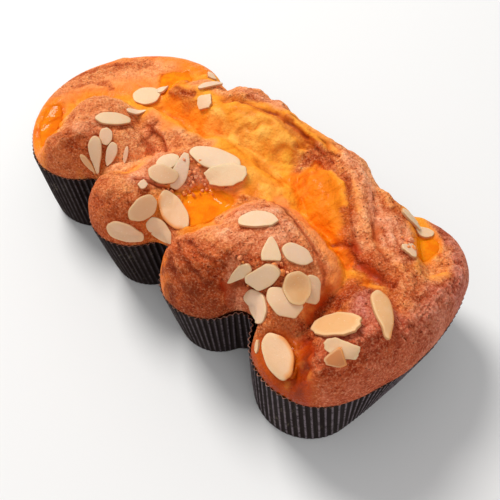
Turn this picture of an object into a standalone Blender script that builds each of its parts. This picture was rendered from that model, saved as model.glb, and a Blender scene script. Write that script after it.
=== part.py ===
"""Apricot braid: a plaited sweet loaf baked in a fluted paper case.

The loaf is one baked body.  Four domed strands bulge over the near lobes of the
case, a long strand runs along the far side, and narrower strands cross between
them.  Apricot jam lies in the valleys, and sliced almonds are baked on.
+X runs along the loaf to its broad end, +Z is up, and the origin is on the
surface below the middle of the whole.
"""
import bpy
import bmesh
import numpy as np

MM = 0.001

# ---- driving dimensions -------------------------------------------------------
# The case is drawn about its own middle, then everything moves by this much in X,
# so that the origin is below the middle of the whole.
CENTRE_SHIFT = 5.0 * MM

RIM_HEIGHT = 34.0 * MM
PAPER = 0.5 * MM
FLUTE_DEPTH = 0.5 * MM          # the pleats stand this far in and out of the wall
FLUTE_PITCH = 2.25 * MM
GAP = 0.3 * MM                  # between pieces that touch

# Each half of the case has four lobes: x, distance from the middle line, radius.
RIM_LOBES = np.array([(-66.0, 22.6, 22.7), (-21.5, 31.0, 18.0),
                      (21.5, 31.0, 18.0), (66.3, 23.3, 22.5)]) * MM
BASE_LOBES = np.array([(-66.5, 21.5, 20.0), (-22.3, 26.3, 15.9),
                       (20.7, 26.3, 15.9), (65.6, 23.2, 20.0)]) * MM
RIM_NOTCH, BASE_NOTCH = 4.5 * MM, 6.5 * MM      # round of the notch between lobes
CRUST_NOTCHES = 5.5 * MM, 20.0 * MM             # of the crust above it: near, far half
# How far the centre of each end's wide arc lies inside its end lobe: far, near.
RIM_ENDS = np.array([10.0, 57.0]) * MM
BASE_ENDS = np.array([10.0, 200.0]) * MM

# The loaf stands this far inside the middle of the fluted wall.
LOAF_INSET = 1.6 * MM
LOAF_FLOOR = PAPER + GAP
EDGE_RISE = 1.0 * MM            # the crust's edge stands this far above the rim
EDGE_ROLL = 7.0 * MM            # width over which the crust rolls over to its edge
VALLEY_X = np.array([-100, -76, -50, 0, 100]) * MM
VALLEY_Z = np.array([36, 37, 42, 43, 42]) * MM  # height of the dough between strands

# Domed parts of strands: height of the crest, width of the rounded border, outline x, y.
DOMES = {
    "far_cap": (39.5, 12, [(-78, -50), (-84, -30), (-81, -8), (-72, 1), (-58, 3), (-56, 16),
                         (-58, 32), (-56, 54), (-90, 50), (-112, 10), (-108, -30)]),
    "first_dome": (55, 22, [(-52, -62), (-68, -60), (-72, -36), (-81, -24), (-82, -10),
                            (-76, 0), (-64, 2), (-49, 1), (-43, -5), (-33, -8), (-31, -18),
                            (-38, -28), (-43, -38)]),
    "second_dome": (55, 22, [(-44, -38), (-40, -29), (-33, -24), (-34, -10), (-27, 2),
                             (-20, 9), (-5, 10), (6, 6), (8, -3), (-2, -10), (-7, -18),
                             (-5, -28), (-2, -40), (-4, -62), (-38, -62)]),
    "third_dome": (61, 28, [(-3, -36), (5, -29), (9, -19), (8, -5), (18, 6), (34, 9), (47, 6),
                            (60, 1), (63, -10), (66, -22), (66, -30), (58, -38), (48, -44),
                            (40, -62), (6, -62), (0, -48)]),
    "end_cap": (58, 20, [(57, -4), (66, 4), (80, 5), (96, 0), (122, -10), (104, -58), (84, -64),
                         (72, -44), (65, -32), (63, -18)]),
    "end_shoulder": (52, 20, [(64, 2), (68, 14), (76, 22), (80, 36), (98, 34), (120, -6),
                              (96, -16), (80, -6)]),
    "far_strand": (54.5, 19, [(-41, 22), (-36, 12), (-22, 12), (-8, 14), (4, 17), (12, 23),
                              (22, 29), (34, 28), (44, 24), (50, 38), (36, 50), (20, 48),
                              (8, 60), (-2, 62), (-12, 55), (-22, 47), (-34, 51), (-42, 46)]),
    "inner_swell": (53, 11, [(10, 27), (13, 17), (26, 9), (42, 4), (56, 0), (67, 3), (60, 11),
                             (49, 18), (39, 25), (27, 32), (15, 33)]),
}

# Narrower strands: points x, y, height of the crest, half width.
STRANDS = {
    "flap": [(-48, -2, 49, 7), (-38, -1, 50, 8), (-27, 0, 49, 8)],
    "second_shoulder": [(-14, 4, 49, 12), (2, 3, 49, 12), (17, 5, 48, 10)],
    "far_strand_start": [(-54, 21, 47, 9), (-46, 25, 49, 11), (-36, 22, 49, 10)],
    "cross_strand": [(24, 35, 52, 9), (37, 28, 52, 10), (46, 20, 51, 9), (55, 13, 50, 8),
                     (67, 8, 49, 8)],
    "end_strand": [(46, 32, 49, 10), (54, 27, 50, 10), (62, 19, 50, 10), (70, 12, 51, 10),
                   (79, 3, 51, 9)],
}
BLEND = 1.2 * MM                # how softly one strand runs into the next
SIDE_BLEND = 3.5 * MM           # how softly a dome's sides meet along its middle
CROWN = 0.7                     # power of a strand's cross-section, 0.5 is elliptic
FLANK = 1.6                     # slope of a strand's side beyond its half width

# Creases and cracks: depth, half width, then points x, y.
CREASES = [
    (3.0, 2.2, [(-36, -11), (-31, -10), (-27, -9)]),
    (2.5, 3.0, [(36, -32), (43, -30), (50, -27), (54, -21)]),
    (2.5, 2.0, [(12, -34), (20, -39), (32, -38)]),
    (2.0, 2.0, [(22, -33), (30, -34), (38, -36)]),
    (2.2, 2.6, [(-32, 26), (-20, 31), (-6, 32), (8, 31), (20, 28)]),
    (2.0, 2.5, [(70, 6), (79, -1), (87, -12)]),
    (3.5, 6.0, [(-54, 9), (-44, 11), (-33, 10)]),
    (2.5, 2.2, [(40, 33), (50, 22), (58, 15), (66, 12)]),
    (1.8, 2.0, [(22, 31), (33, 27), (42, 20), (50, 13), (58, 8)]),
]

# Jam: outline x, y of each patch that shows between the strands.
JAM_PATCHES = {
    "apricot_jam_middle": [(-6, -20), (-9, -17), (-7, -12), (-4, -9), (3, -7), (8, -6),
                           (9, -10), (8, -15), (7, -21), (5, -26), (0, -27), (-5, -24)],
    "apricot_jam_front": [(56, -38.5), (57, -36), (61, -33), (66, -33), (69, -36),
                          (71.5, -40), (70.5, -41.4), (66, -42.5), (61, -42), (58, -40.5)],
    "apricot_jam_far_left": [(-92, -25), (-88, -20.5), (-83, -23.5), (-79, -28), (-76, -32.5),
                             (-72, -36.5), (-71, -41), (-78, -38), (-84.5, -33.7), (-89, -29)],
    "apricot_jam_far_right": [(-74, 23), (-67, 17), (-62, 14), (-58, 17), (-57, 24),
                              (-61, 31), (-67, 34), (-72, 29)],
    "apricot_jam_end": [(65, 23), (68, 20), (71, 21), (73, 26), (73, 32), (70, 36),
                        (66, 33), (64, 28)],
}
JAM_DROP = 0.9 * MM             # the jam lies this far below the crust round it
JAM_DEPTH = 4.5 * MM

# Almond flakes, length along the crust: x, y, length, width, turn in degrees, how
# pointed the end is (negative for the other end), where the tip is broken off, lift.
FLAKES = [
    (-66, 9, 12.0, 11.5, 46, 0, 1, 0), (-63, 17, 7, 6.5, 59, 0.8, 0.6, 0.4),
    (-38, 19, 9.5, 8, -45, 0.15, 0.75, 0.3), (-44, 27, 12, 3.6, 78, 0.3, 1, 0.3),
    (-57, 38, 6, 5, 24, 0, 1, 0.4),
    (-51, -17, 14, 7.5, 61, 0.3, 1, 0), (-52, -6, 8.5, 4.5, 66, 0.7, 1, 0.5),
    (-46, -30, 15, 7, -44, 0.6, 1, 0.7), (-47, -24, 7, 5, -42, 0, 1, 0),
    (-42, -26, 9.5, 5, -69, 0.4, 1, 0), (-48, -33, 9.5, 3, 14, 0.3, 1, 1.2),
    (-38, -22, 6.8, 2, -58, 0.3, 1, 0),
    (-9, -1, 19.5, 9.2, 27, 0.2, 1, 0), (-1, -3, 16.8, 9.6, 45, -0.4, 1, 1.0),
    (-16, -21, 10.5, 7, 55, 0, 1, 0.9), (-19, -16, 7.5, 5, 87, 0, 1, 0),
    (-14, -14, 15, 5.6, -62, -0.5, 1, 0.3), (-16, -30, 6, 3.2, 94, -0.5, 0.7, 0),
    (-10, -35, 12, 8, 88, 0, 1, 0), (-4, -26, 17, 9, -12, 0, 1, 1.0),
    (-3, -33, 12.5, 6, 11, 0.4, 1, 0), (-11, -43, 13.5, 7.6, 38, 0.5, 1, 0.3),
    (28, -14, 13.5, 10, 39, 0.2, 1, 0), (41, -21, 9, 7, 136, 0.9, 0.8, 0.9),
    (47, -14, 11, 8.6, 39, 0.6, 1, 0), (44, -27, 13, 8, -142, -0.5, 1, 0.7),
    (37, -31, 9.5, 4.5, -120, 0.6, 1, 0), (53, -22, 11, 9.5, -44, 0, 1, 1.0),
    (57, -18, 9.5, 6, -50, 0.2, 1, 0), (47, -32, 13, 7.7, -16, 0, 1, 0),
    (55, -28, 13.5, 8, 13, 0, 1, 0.9),
    (73, -23, 21.5, 12, 16, 0.2, 0.85, 0.9), (80, -11, 20, 9, -43, 0.5, 1, 0),
    (80, -29, 13, 6, 34, 0, 0.8, 0), (80, -32, 8.5, 8, -126, 0.7, 0.8, 0.7),
    (64, -39, 16, 11, -21, 0.1, 1, 0.4), (56, -40.2, 4.5, 2, -50, 0, 1, 0.2),
    (68, 19, 7, 7, 37, 0, 1, 0), (64, 34, 7.5, 4.5, 44, 0, 1, 0),
    (59, 32, 11.5, 4.5, 21, 0.3, 1, 0),
]
FLAKE_THICKNESS = 1.1 * MM
FLAKE_SINK = 0.3 * MM           # how far a flake is baked into the crust
FLAKE_GIVE = 0.5                # share of the crust's bulge that a flake follows
FLAKE_BEND = 2.0 * MM           # most that a flake's edge bends either way

# ---- mesh fineness ------------------------------------------------------------
LOAF_ARC_COLUMNS = (12, 6, 5, 11, 5, 11, 5, 9, 12)     # one count for each arc
LOAF_ROWS = 23
CRUST_SMOOTHING = 1
LOAF_WALL_HEIGHTS = np.array([34.6, 22.0, 10.0]) * MM
FLAKE_POINTS = 10
JAM_RINGS = 3
MERGE = 0.00001                 # points nearer than this are one
ABOVE = 80.0 * MM               # above everything
SOLVER = "MANIFOLD"
SHARP = np.radians(35)          # edges that turn by more are shaded sharp


# ---- outlines -----------------------------------------------------------------
def arc_chain(lobes, notch, ends):
    """The case's near half as arcs from the far end to the broad end.

    Each arc is (x, y, radius, first angle, last angle, side).  A wide arc closes
    each end, touching its end lobe from outside.  Lobes are arcs that bulge out
    (side 1), and notches are arcs that bulge in (side -1), touching two lobes.
    """
    centres = [np.array([x, -y]) for x, y, _ in lobes]
    radii = [r for _, _, r in lobes]

    def angle(start, end):
        dx, dy = end - start
        return np.arctan2(dy, dx)

    far = np.array([centres[0][0] + ends[0], 0.0])
    near = np.array([centres[3][0] - ends[1], 0.0])
    notches = []
    for k in range(3):
        across = centres[k + 1] - centres[k]
        span = np.hypot(*across)
        one, two = radii[k] + notch, radii[k + 1] + notch
        along = (one ** 2 - two ** 2 + span ** 2) / (2 * span)
        unit = across / span
        outward = np.array([unit[1], -unit[0]])
        middle = centres[k] + unit * along + outward * np.sqrt(one ** 2 - along ** 2)
        notches.append((middle, angle(centres[k], middle), angle(centres[k + 1], middle)))

    start = angle(far, centres[0])
    if start > 0:
        start -= 2 * np.pi
    chain = [(*far, np.hypot(*(far - centres[0])) + radii[0], -np.pi, start, 1)]
    for k in range(4):
        first = start if k == 0 else notches[k - 1][2]
        last = angle(near, centres[3]) if k == 3 else notches[k][1]
        chain.append((*centres[k], radii[k], first, last, 1))
        if k < 3:
            middle, one, two = notches[k]
            chain.append((*middle, notch, one + np.pi, two + np.pi, -1))
    chain.append((*near, np.hypot(*(near - centres[3])) + radii[3],
                  angle(near, centres[3]), 0.0, 1))
    return chain


def trace(chain, counts):
    """Points and outward normals along a chain, with counts[k] steps on arc k."""
    points, normals = [], []
    for k, ((x, y, r, first, last, side), count) in enumerate(zip(chain, counts)):
        steps = np.arange(count + (k == len(chain) - 1)) / count
        turn = first + (last - first) * steps
        way = np.stack([np.cos(turn), np.sin(turn)], axis=1)
        points.append(np.array([x, y]) + r * way)
        normals.append(side * way)
    return np.concatenate(points), np.concatenate(normals)


RIM_CHAIN = arc_chain(RIM_LOBES, RIM_NOTCH, RIM_ENDS)
BASE_CHAIN = arc_chain(BASE_LOBES, BASE_NOTCH, BASE_ENDS)


def wall_line(height, counts, inset):
    """Near half of the wall at a height: the base and rim lines mixed, moved in."""
    rim, rim_out = trace(RIM_CHAIN, counts)
    base, base_out = trace(BASE_CHAIN, counts)
    share = height / RIM_HEIGHT
    out = rim_out * share + base_out * (1 - share)
    out /= np.hypot(out[:, 0], out[:, 1])[:, None]
    inset = np.broadcast_to(inset, len(rim))
    line = rim * share + base * (1 - share) - out * inset[:, None]
    line[[0, -1], 1] = 0.0
    return line


def whole_ring(line):
    """Close a near half into a ring, with its mirror image as the far half."""
    return np.concatenate([line[:-1], (line * (1, -1))[:0:-1]])


# ---- heights of the crust -----------------------------------------------------
def ridge(points, x, y):
    """Height of one strand: an elliptic cross-section carried along a line."""
    points = np.array(points, float) * MM
    valley = np.interp(x, VALLEY_X, VALLEY_Z)
    best = np.full(np.shape(x), -1.0)
    for start, end in zip(points[:-1], points[1:]):
        way = end[:2] - start[:2]
        share = ((x - start[0]) * way[0] + (y - start[1]) * way[1]) / (way @ way)
        share = np.clip(share, 0, 1)
        off = np.hypot(x - start[0] - share * way[0], y - start[1] - share * way[1])
        crest = start[2] + share * (end[2] - start[2])
        width = start[3] + share * (end[3] - start[3])
        inner = np.clip(1 - (off / width) ** 2, 0, 1) ** CROWN
        height = valley + (crest - valley) * inner - FLANK * np.clip(off - width, 0, None)
        best = np.maximum(best, height)
    return best


def distance_to_line(points, x, y, blend=0.0):
    """Distance in plan from each place to a line of points, softened by blend."""
    points = np.array(points, float) * MM
    best = np.full(np.shape(x), 1.0)
    total = np.zeros(np.shape(x))
    for start, end in zip(points[:-1], points[1:]):
        way = end - start
        share = ((x - start[0]) * way[0] + (y - start[1]) * way[1]) / (way @ way)
        share = np.clip(share, 0, 1)
        off = np.hypot(x - start[0] - share * way[0], y - start[1] - share * way[1])
        best = np.minimum(best, off)
        if blend:
            total += np.exp(-off / blend)
    return np.clip(-blend * np.log(total), 0, None) if blend else best


def inside(outline, x, y):
    """Whether each place lies inside an outline: it crosses an odd number of sides."""
    odd = np.zeros(np.shape(x), bool)
    for (ax, ay), (bx, by) in zip(outline, np.roll(outline, -1, axis=0)):
        spans = (ay > y) != (by > y)
        run = 1.0 if by == ay else (bx - ax) / (by - ay)
        odd ^= spans & (x < ax + (y - ay) * run)
    return odd


def dome(crest, border, outline, x, y):
    """Height of a domed part: flat inside, rounded down over its border."""
    ring = outline + outline[:1]
    within = inside(np.array(outline) * MM, x, y)
    soft = distance_to_line(ring, x, y, SIDE_BLEND)
    short = 1 - np.clip(soft / (border * MM), 0, 1)
    valley = np.interp(x, VALLEY_X, VALLEY_Z)
    raised = valley + (crest * MM - valley) * (1 - short ** 2) ** CROWN
    return np.where(within, raised, valley - FLANK * distance_to_line(ring, x, y))


def strands_height(x, y):
    """All strands together: a soft maximum, less the creases between them."""
    heights = [dome(*sizes, x, y) for sizes in DOMES.values()]
    heights += [ridge(points, x, y) for points in STRANDS.values()]
    heights.append(np.interp(x, VALLEY_X, VALLEY_Z))
    heights = np.stack(heights)
    top = heights.max(axis=0)
    height = top + BLEND * np.log(np.exp((heights - top) / BLEND).sum(axis=0))
    for depth, width, points in CREASES:
        off = distance_to_line(points, x, y) / (width * MM)
        height = height - depth * MM * np.exp(-off ** 2)
    return height


def crust_ring(counts):
    """Outline of the crust above the rim: the far half overhangs the notches."""
    halves = []
    for notch in CRUST_NOTCHES:
        line, out = trace(arc_chain(RIM_LOBES, notch, RIM_ENDS), counts)
        line = line - out * LOAF_INSET
        line[[0, -1], 1] = 0.0
        halves.append(line)
    return halves


EDGE_NEAR, EDGE_FAR = crust_ring((24, 12, 10, 22, 10, 22, 10, 18, 24))
EDGE_RING = np.concatenate([EDGE_NEAR[:-1], (EDGE_FAR * (1, -1))[:0:-1]])


def crust_height(x, y):
    """Height of the loaf's top: the strands, rolled over towards the rim."""
    flat = np.stack([np.ravel(x), np.ravel(y)], axis=1)
    start, end = EDGE_RING, np.roll(EDGE_RING, -1, axis=0)
    way = end - start
    share = np.einsum("pkc,kc->pk", flat[:, None] - start, way) / (way ** 2).sum(axis=1)
    near = start + np.clip(share, 0, 1)[..., None] * way
    off = np.sqrt(((flat[:, None] - near) ** 2).sum(axis=2)).min(axis=1)
    off = np.where(inside(EDGE_RING, *flat.T), off, 0).reshape(np.shape(x))
    roll = np.sqrt(np.clip(1 - np.clip(1 - off / EDGE_ROLL, 0, 1) ** 2, 0, 1))
    edge = RIM_HEIGHT + EDGE_RISE
    return edge + (strands_height(x, y) - edge) * roll


# ---- building -----------------------------------------------------------------
def put_mesh(name, points, faces):
    """A mesh object in the scene, its points moved from the case's middle."""
    mesh = bpy.data.meshes.new(name)
    points = np.asarray(points) + (CENTRE_SHIFT, 0, 0)
    mesh.from_pydata(points.tolist(), [], faces)
    thing = bpy.data.objects.new(name, mesh)
    bpy.context.scene.collection.objects.link(thing)
    work = bmesh.new()
    work.from_mesh(mesh)
    bmesh.ops.remove_doubles(work, verts=work.verts, dist=MERGE)
    bmesh.ops.triangulate(work, faces=work.faces)
    bmesh.ops.recalc_face_normals(work, faces=work.faces)
    work.to_mesh(mesh)
    work.free()
    mesh.polygons.foreach_set("use_smooth", [True] * len(mesh.polygons))
    return thing


def strip(first, second):
    """Quads between two closed rings of point numbers."""
    ahead = list(range(1, len(first))) + [0]
    return [(first[k], first[m], second[m], second[k]) for k, m in enumerate(ahead)]


def at_height(ring, height):
    """Plan points raised to a height."""
    return np.column_stack([ring, np.broadcast_to(height, len(ring))])


def flute_counts():
    """Columns of the case on each arc: two to a flute."""
    counts = []
    for x, y, radius, first, last, side in RIM_CHAIN:
        counts.append(2 * max(1, round(radius * abs(last - first) / FLUTE_PITCH)))
    return counts


def build_case():
    """The case: a fluted wall and a flat base of paper, one sheet all over."""
    counts = flute_counts()
    wave = FLUTE_DEPTH * (-1.0) ** np.arange(sum(counts) + 1)
    levels = ((0.0, 0.0), (RIM_HEIGHT, 0.0), (RIM_HEIGHT, PAPER), (PAPER, PAPER))
    points = [at_height(whole_ring(wall_line(height, counts, inset - wave)), height)
              for height, inset in levels]
    size = len(points[0])
    rings = [list(range(k * size, (k + 1) * size)) for k in range(4)]
    faces = strip(rings[0], rings[1]) + strip(rings[1], rings[2]) + strip(rings[2], rings[3])
    return put_mesh("paper_case", np.concatenate(points), faces + [rings[0], rings[3]])


def build_loaf():
    """The loaf: the crust as a grid from side to side, its wall and its flat base."""
    near, far = crust_ring(LOAF_ARC_COLUMNS)
    even = np.linspace(0, 1, LOAF_ROWS)
    share = ((even + (1 - np.cos(np.pi * even)) / 2) / 2)[None, :, None]
    plan = near[:, None] * (1 - share) + (far * (1, -1))[:, None] * share
    height = crust_height(plan[..., 0], plan[..., 1])
    for _ in range(CRUST_SMOOTHING):
        beside = height[:-2, 1:-1] + height[2:, 1:-1] + height[1:-1, :-2] + height[1:-1, 2:]
        height[1:-1, 1:-1] = (height[1:-1, 1:-1] + beside / 4) / 2
    points = [np.column_stack([plan.reshape(-1, 2), height.ravel()])]
    columns = len(near)

    def place(column, row):
        return column * LOAF_ROWS + row

    faces = [(place(k, m), place(k + 1, m), place(k + 1, m + 1), place(k, m + 1))
             for k in range(columns - 1) for m in range(LOAF_ROWS - 1)]
    rings = [[place(k, 0) for k in range(columns - 1)]
             + [place(k, LOAF_ROWS - 1) for k in range(columns - 1, 0, -1)]]
    count = columns * LOAF_ROWS
    for height in [*LOAF_WALL_HEIGHTS, LOAF_FLOOR]:
        ring = whole_ring(wall_line(height, LOAF_ARC_COLUMNS, LOAF_INSET))
        points.append(at_height(ring, height))
        rings.append(list(range(count, count + len(ring))))
        faces += strip(rings[-2], rings[-1])
        count += len(ring)
    faces.append(rings[-1])
    return put_mesh("braid", np.concatenate(points), faces)


def grown(outline, by):
    """An outline with each side moved outwards."""
    before, after = np.roll(outline, 1, axis=0), np.roll(outline, -1, axis=0)
    sides = [outline - before, after - outline]
    outward = sum(np.column_stack([s[:, 1], -s[:, 0]]) / np.hypot(*s.T)[:, None] for s in sides)
    turning = np.sign((outline * (after - before)[:, ::-1] * (1, -1)).sum())
    outward *= turning / np.hypot(*outward.T)[:, None]
    return outline + outward * by


def patch(name, outline, spread, top_drop, floor_drop, tall=None):
    """A patch that follows the crust between two depths, its border spread outwards."""
    middle = outline.mean(axis=0)
    shares = 1 - np.arange(JAM_RINGS) / JAM_RINGS
    plan = np.concatenate([middle + (outline - middle) * share for share in shares]
                          + [middle[None]])
    crust = crust_height(*plan.T)
    size = len(outline)
    plan[:size] = grown(outline, spread)
    top = crust - top_drop if tall is None else np.full(len(plan), tall)
    points = np.concatenate([np.column_stack([plan, top]),
                             np.column_stack([plan, crust - floor_drop])])
    faces = []
    for base in (0, len(plan)):
        rings = [[base + k * size + m for m in range(size)] for k in range(JAM_RINGS)]
        for outer, inner in zip(rings[:-1], rings[1:]):
            faces += strip(outer, inner)
        last = base + JAM_RINGS * size
        faces += [(rings[-1][m], rings[-1][(m + 1) % size], last) for m in range(size)]
    under = [len(plan) + m for m in range(size)]
    faces += strip(list(range(size)), under)
    return put_mesh(name, points, faces)


def build_flake(spot):
    """An almond flake: a thin plate on the crust, bent a little the way the crust bulges."""
    x, y, length, width, turn, point, broken, lift = spot
    x, y, length, width, lift = np.array([x, y, length, width, lift]) * MM
    reach = 0.4 * length
    beside = crust_height(x + reach * np.array([1, -1, 0, 0, 0]),
                          y + reach * np.array([0, 0, 1, -1, 0]))
    normal = np.array([beside[1] - beside[0], beside[3] - beside[2], 2 * reach])
    normal /= np.linalg.norm(normal)
    way = np.array([np.cos(np.radians(turn)), np.sin(np.radians(turn)), 0.0])
    way[2] = -(way @ normal) / normal[2]
    way /= np.linalg.norm(way)
    across = np.cross(normal, way)
    angle = 2 * np.pi * np.arange(FLAKE_POINTS) / FLAKE_POINTS
    along = np.cos(angle)
    side = np.sin(angle) * (1 - abs(point) * (1 + np.sign(point) * along) / 2)
    along = np.minimum(along, broken)
    middle = np.array([x, y, beside[4]])
    plate = (middle + way * (along * length / 2)[:, None] + across * (side * width / 2)[:, None])
    plate = np.concatenate([plate, middle[None]])
    bulge = (crust_height(plate[:, 0], plate[:, 1]) - plate[:, 2]) * normal[2]
    bulge = np.clip(bulge, -FLAKE_BEND, FLAKE_BEND) * FLAKE_GIVE
    bulge += abs(bulge.mean()) * (1 - FLAKE_GIVE)
    plate = plate + normal * (bulge + lift - FLAKE_SINK)[:, None]
    points = np.concatenate([plate + normal * FLAKE_THICKNESS, plate])
    top = list(range(FLAKE_POINTS))
    under = [FLAKE_POINTS + 1 + k for k in top]
    faces = strip(top, under)
    faces += [(top[k], top[(k + 1) % FLAKE_POINTS], FLAKE_POINTS) for k in top]
    faces += [(under[k], under[(k + 1) % FLAKE_POINTS], 2 * FLAKE_POINTS + 1) for k in top]
    return put_mesh("flake", points, faces)


def combine(target, others, operation):
    """One Boolean with a collection of objects, applied; the objects then go."""
    group = bpy.data.collections.new("operands")
    bpy.context.scene.collection.children.link(group)
    for other in others:
        bpy.context.scene.collection.objects.unlink(other)
        group.objects.link(other)
    modifier = target.modifiers.new("combine", "BOOLEAN")
    modifier.operand_type = "COLLECTION"
    modifier.collection = group
    modifier.operation = operation
    modifier.solver = SOLVER
    graph = bpy.context.evaluated_depsgraph_get()
    mesh = bpy.data.meshes.new_from_object(target.evaluated_get(graph))
    target.modifiers.clear()
    target.data = mesh
    for other in others:
        bpy.data.objects.remove(other, do_unlink=True)
    bpy.data.collections.remove(group)


def keep_largest(thing):
    """Drop loose scraps: keep the connected part with the most faces."""
    work = bmesh.new()
    work.from_mesh(thing.data)
    bmesh.ops.triangulate(work, faces=work.faces)
    left = set(work.faces)
    parts = []
    while left:
        part, border = set(), [left.pop()]
        while border:
            face = border.pop()
            part.add(face)
            fresh = {f for e in face.edges for f in e.link_faces} & left
            left -= fresh
            border.extend(fresh)
        parts.append(part)
    parts.sort(key=len)
    scraps = [face for part in parts[:-1] for face in part]
    bmesh.ops.delete(work, geom=scraps, context="FACES")
    work.to_mesh(thing.data)
    work.free()


def paint(thing, name, colour, roughness, metallic=0.0):
    """Give a thing its own plain material."""
    material = bpy.data.materials.new(name)
    material.use_nodes = True
    shader = material.node_tree.nodes["Principled BSDF"]
    shader.inputs["Base Color"].default_value = (*colour, 1.0)
    shader.inputs["Roughness"].default_value = roughness
    shader.inputs["Metallic"].default_value = metallic
    thing.data.materials.clear()
    thing.data.materials.append(material)
    thing.data.set_sharp_from_angle(angle=SHARP)


for old in list(bpy.data.objects):
    bpy.data.objects.remove(old, do_unlink=True)

case = build_case()
loaf = build_loaf()
wells, jams, fits = [], [], []
for name, outline in JAM_PATCHES.items():
    outline = np.array(outline, float) * MM
    jams.append(patch(name, outline, 0.0, JAM_DROP, JAM_DROP + JAM_DEPTH))
    floor = JAM_DROP + JAM_DEPTH + GAP
    wells.append(patch("well", outline, GAP, 0.0, floor, ABOVE))
    fits.append(patch("fit", outline, 2 * GAP, JAM_DROP - GAP, floor + GAP))
flakes = [build_flake(spot) for spot in FLAKES]
combine(flakes[0], flakes[1:], "UNION")
combine(flakes[0], fits, "DIFFERENCE")
combine(loaf, wells, "DIFFERENCE")
combine(loaf, flakes[:1], "UNION")
keep_largest(loaf)

paint(case, "case_paper", (0.045, 0.032, 0.032), 0.75)
paint(loaf, "baked_dough", (0.50, 0.20, 0.07), 0.7)
for jam in jams:
    paint(jam, jam.name, (0.85, 0.30, 0.02), 0.15)
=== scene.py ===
# %% [markdown]
# # An apricot braid in its paper case
#
# A braid of sweet yeast dough is proved and baked in a dark fluted paper case.  The dough
# rises over the rim in domes, browns where it stands highest, and stays golden and moist
# in the valleys, where apricot jam has been spooned between the strands.  Sliced almonds
# are strewn on before baking and toast a little.
#
# This lesson builds that surface as one function of two parameters: a plan position
# goes in, and the height of the crust comes out.  Everything else lies on that function,
# so the jam, the almonds and the colours all agree with the form.

import bmesh
import bpy
import numpy as np
from mathutils import Matrix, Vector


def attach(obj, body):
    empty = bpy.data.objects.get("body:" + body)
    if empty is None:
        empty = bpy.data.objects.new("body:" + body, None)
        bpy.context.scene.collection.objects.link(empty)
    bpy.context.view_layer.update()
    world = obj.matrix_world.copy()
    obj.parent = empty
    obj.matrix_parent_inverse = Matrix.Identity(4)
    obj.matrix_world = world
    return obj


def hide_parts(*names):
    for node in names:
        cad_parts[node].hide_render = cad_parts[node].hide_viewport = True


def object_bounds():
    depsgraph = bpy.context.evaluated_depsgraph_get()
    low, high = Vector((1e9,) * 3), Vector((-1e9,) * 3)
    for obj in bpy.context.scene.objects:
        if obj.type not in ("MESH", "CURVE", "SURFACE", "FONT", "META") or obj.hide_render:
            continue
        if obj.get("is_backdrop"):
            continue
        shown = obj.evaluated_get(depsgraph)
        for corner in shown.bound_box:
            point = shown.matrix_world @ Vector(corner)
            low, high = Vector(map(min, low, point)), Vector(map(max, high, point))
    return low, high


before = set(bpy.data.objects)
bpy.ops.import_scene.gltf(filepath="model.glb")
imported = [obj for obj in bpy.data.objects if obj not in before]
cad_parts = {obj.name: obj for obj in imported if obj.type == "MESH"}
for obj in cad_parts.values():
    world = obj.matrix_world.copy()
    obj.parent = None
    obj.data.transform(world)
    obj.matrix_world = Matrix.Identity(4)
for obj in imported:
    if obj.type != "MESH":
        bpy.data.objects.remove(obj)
CAD_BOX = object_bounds()
MM = 0.001
print("CAD box", CAD_BOX)

# %% [markdown]
# ## Sizes
#
# The case is drawn about its own middle and then moved a little in X, so that the origin
# lies below the middle of the whole.  Each side has four lobes, given by a place along
# the loaf, a distance from the middle line and a radius.  Small arcs round the notches
# between them, and one wide arc closes each end.

# %% The case's and the loaf's sizes
CENTRE_SHIFT = 5.0 * MM
RIM_HEIGHT = 34.0 * MM
RIM_LOBES = np.array([(-66.0, 22.6, 22.7), (-21.5, 31.0, 18.0),
                      (21.5, 31.0, 18.0), (66.3, 23.3, 22.5)]) * MM
BASE_LOBES = np.array([(-66.5, 21.5, 20.0), (-22.3, 26.3, 15.9),
                       (20.7, 26.3, 15.9), (65.6, 23.2, 20.0)]) * MM
RIM_NOTCH, BASE_NOTCH = 4.5 * MM, 6.5 * MM
CRUST_NOTCHES = 5.5 * MM, 20.0 * MM
RIM_ENDS = np.array([10.0, 57.0]) * MM
BASE_ENDS = np.array([10.0, 200.0]) * MM
LOAF_INSET = 1.6 * MM
LOAF_FLOOR = 0.8 * MM
EDGE_RISE = 1.0 * MM
EDGE_ROLL = 7.0 * MM
VALLEY_X = np.array([-100, -76, -50, 0, 100]) * MM
VALLEY_Z = np.array([36, 37, 42, 43, 42]) * MM

# %% [markdown]
# The strands of the plait show as domes and as narrower ridges.  A dome has a crest
# height, the width over which its border is rounded, and an outline in plan.  A ridge is
# a line of crest points x, y, z with a half width at each.  Such lists are kept as tables
# in millimetres: words and numbers, a bar, and then the points.

# %% The strands
def rows(text, width=2):
    """Rows of a table: its words and numbers, then a list of points of so many numbers.
    A line that starts with a space carries on the one above it."""
    table = []
    for line in text.replace("\n ", " ").strip().splitlines():
        head, _, tail = line.partition("|")
        head = [float(word) if word[-1].isdigit() else word for word in head.split()]
        points = np.array(tail.split(), float).reshape(-1, width)
        table.append((*head, [tuple(point) for point in points]))
    return table


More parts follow.
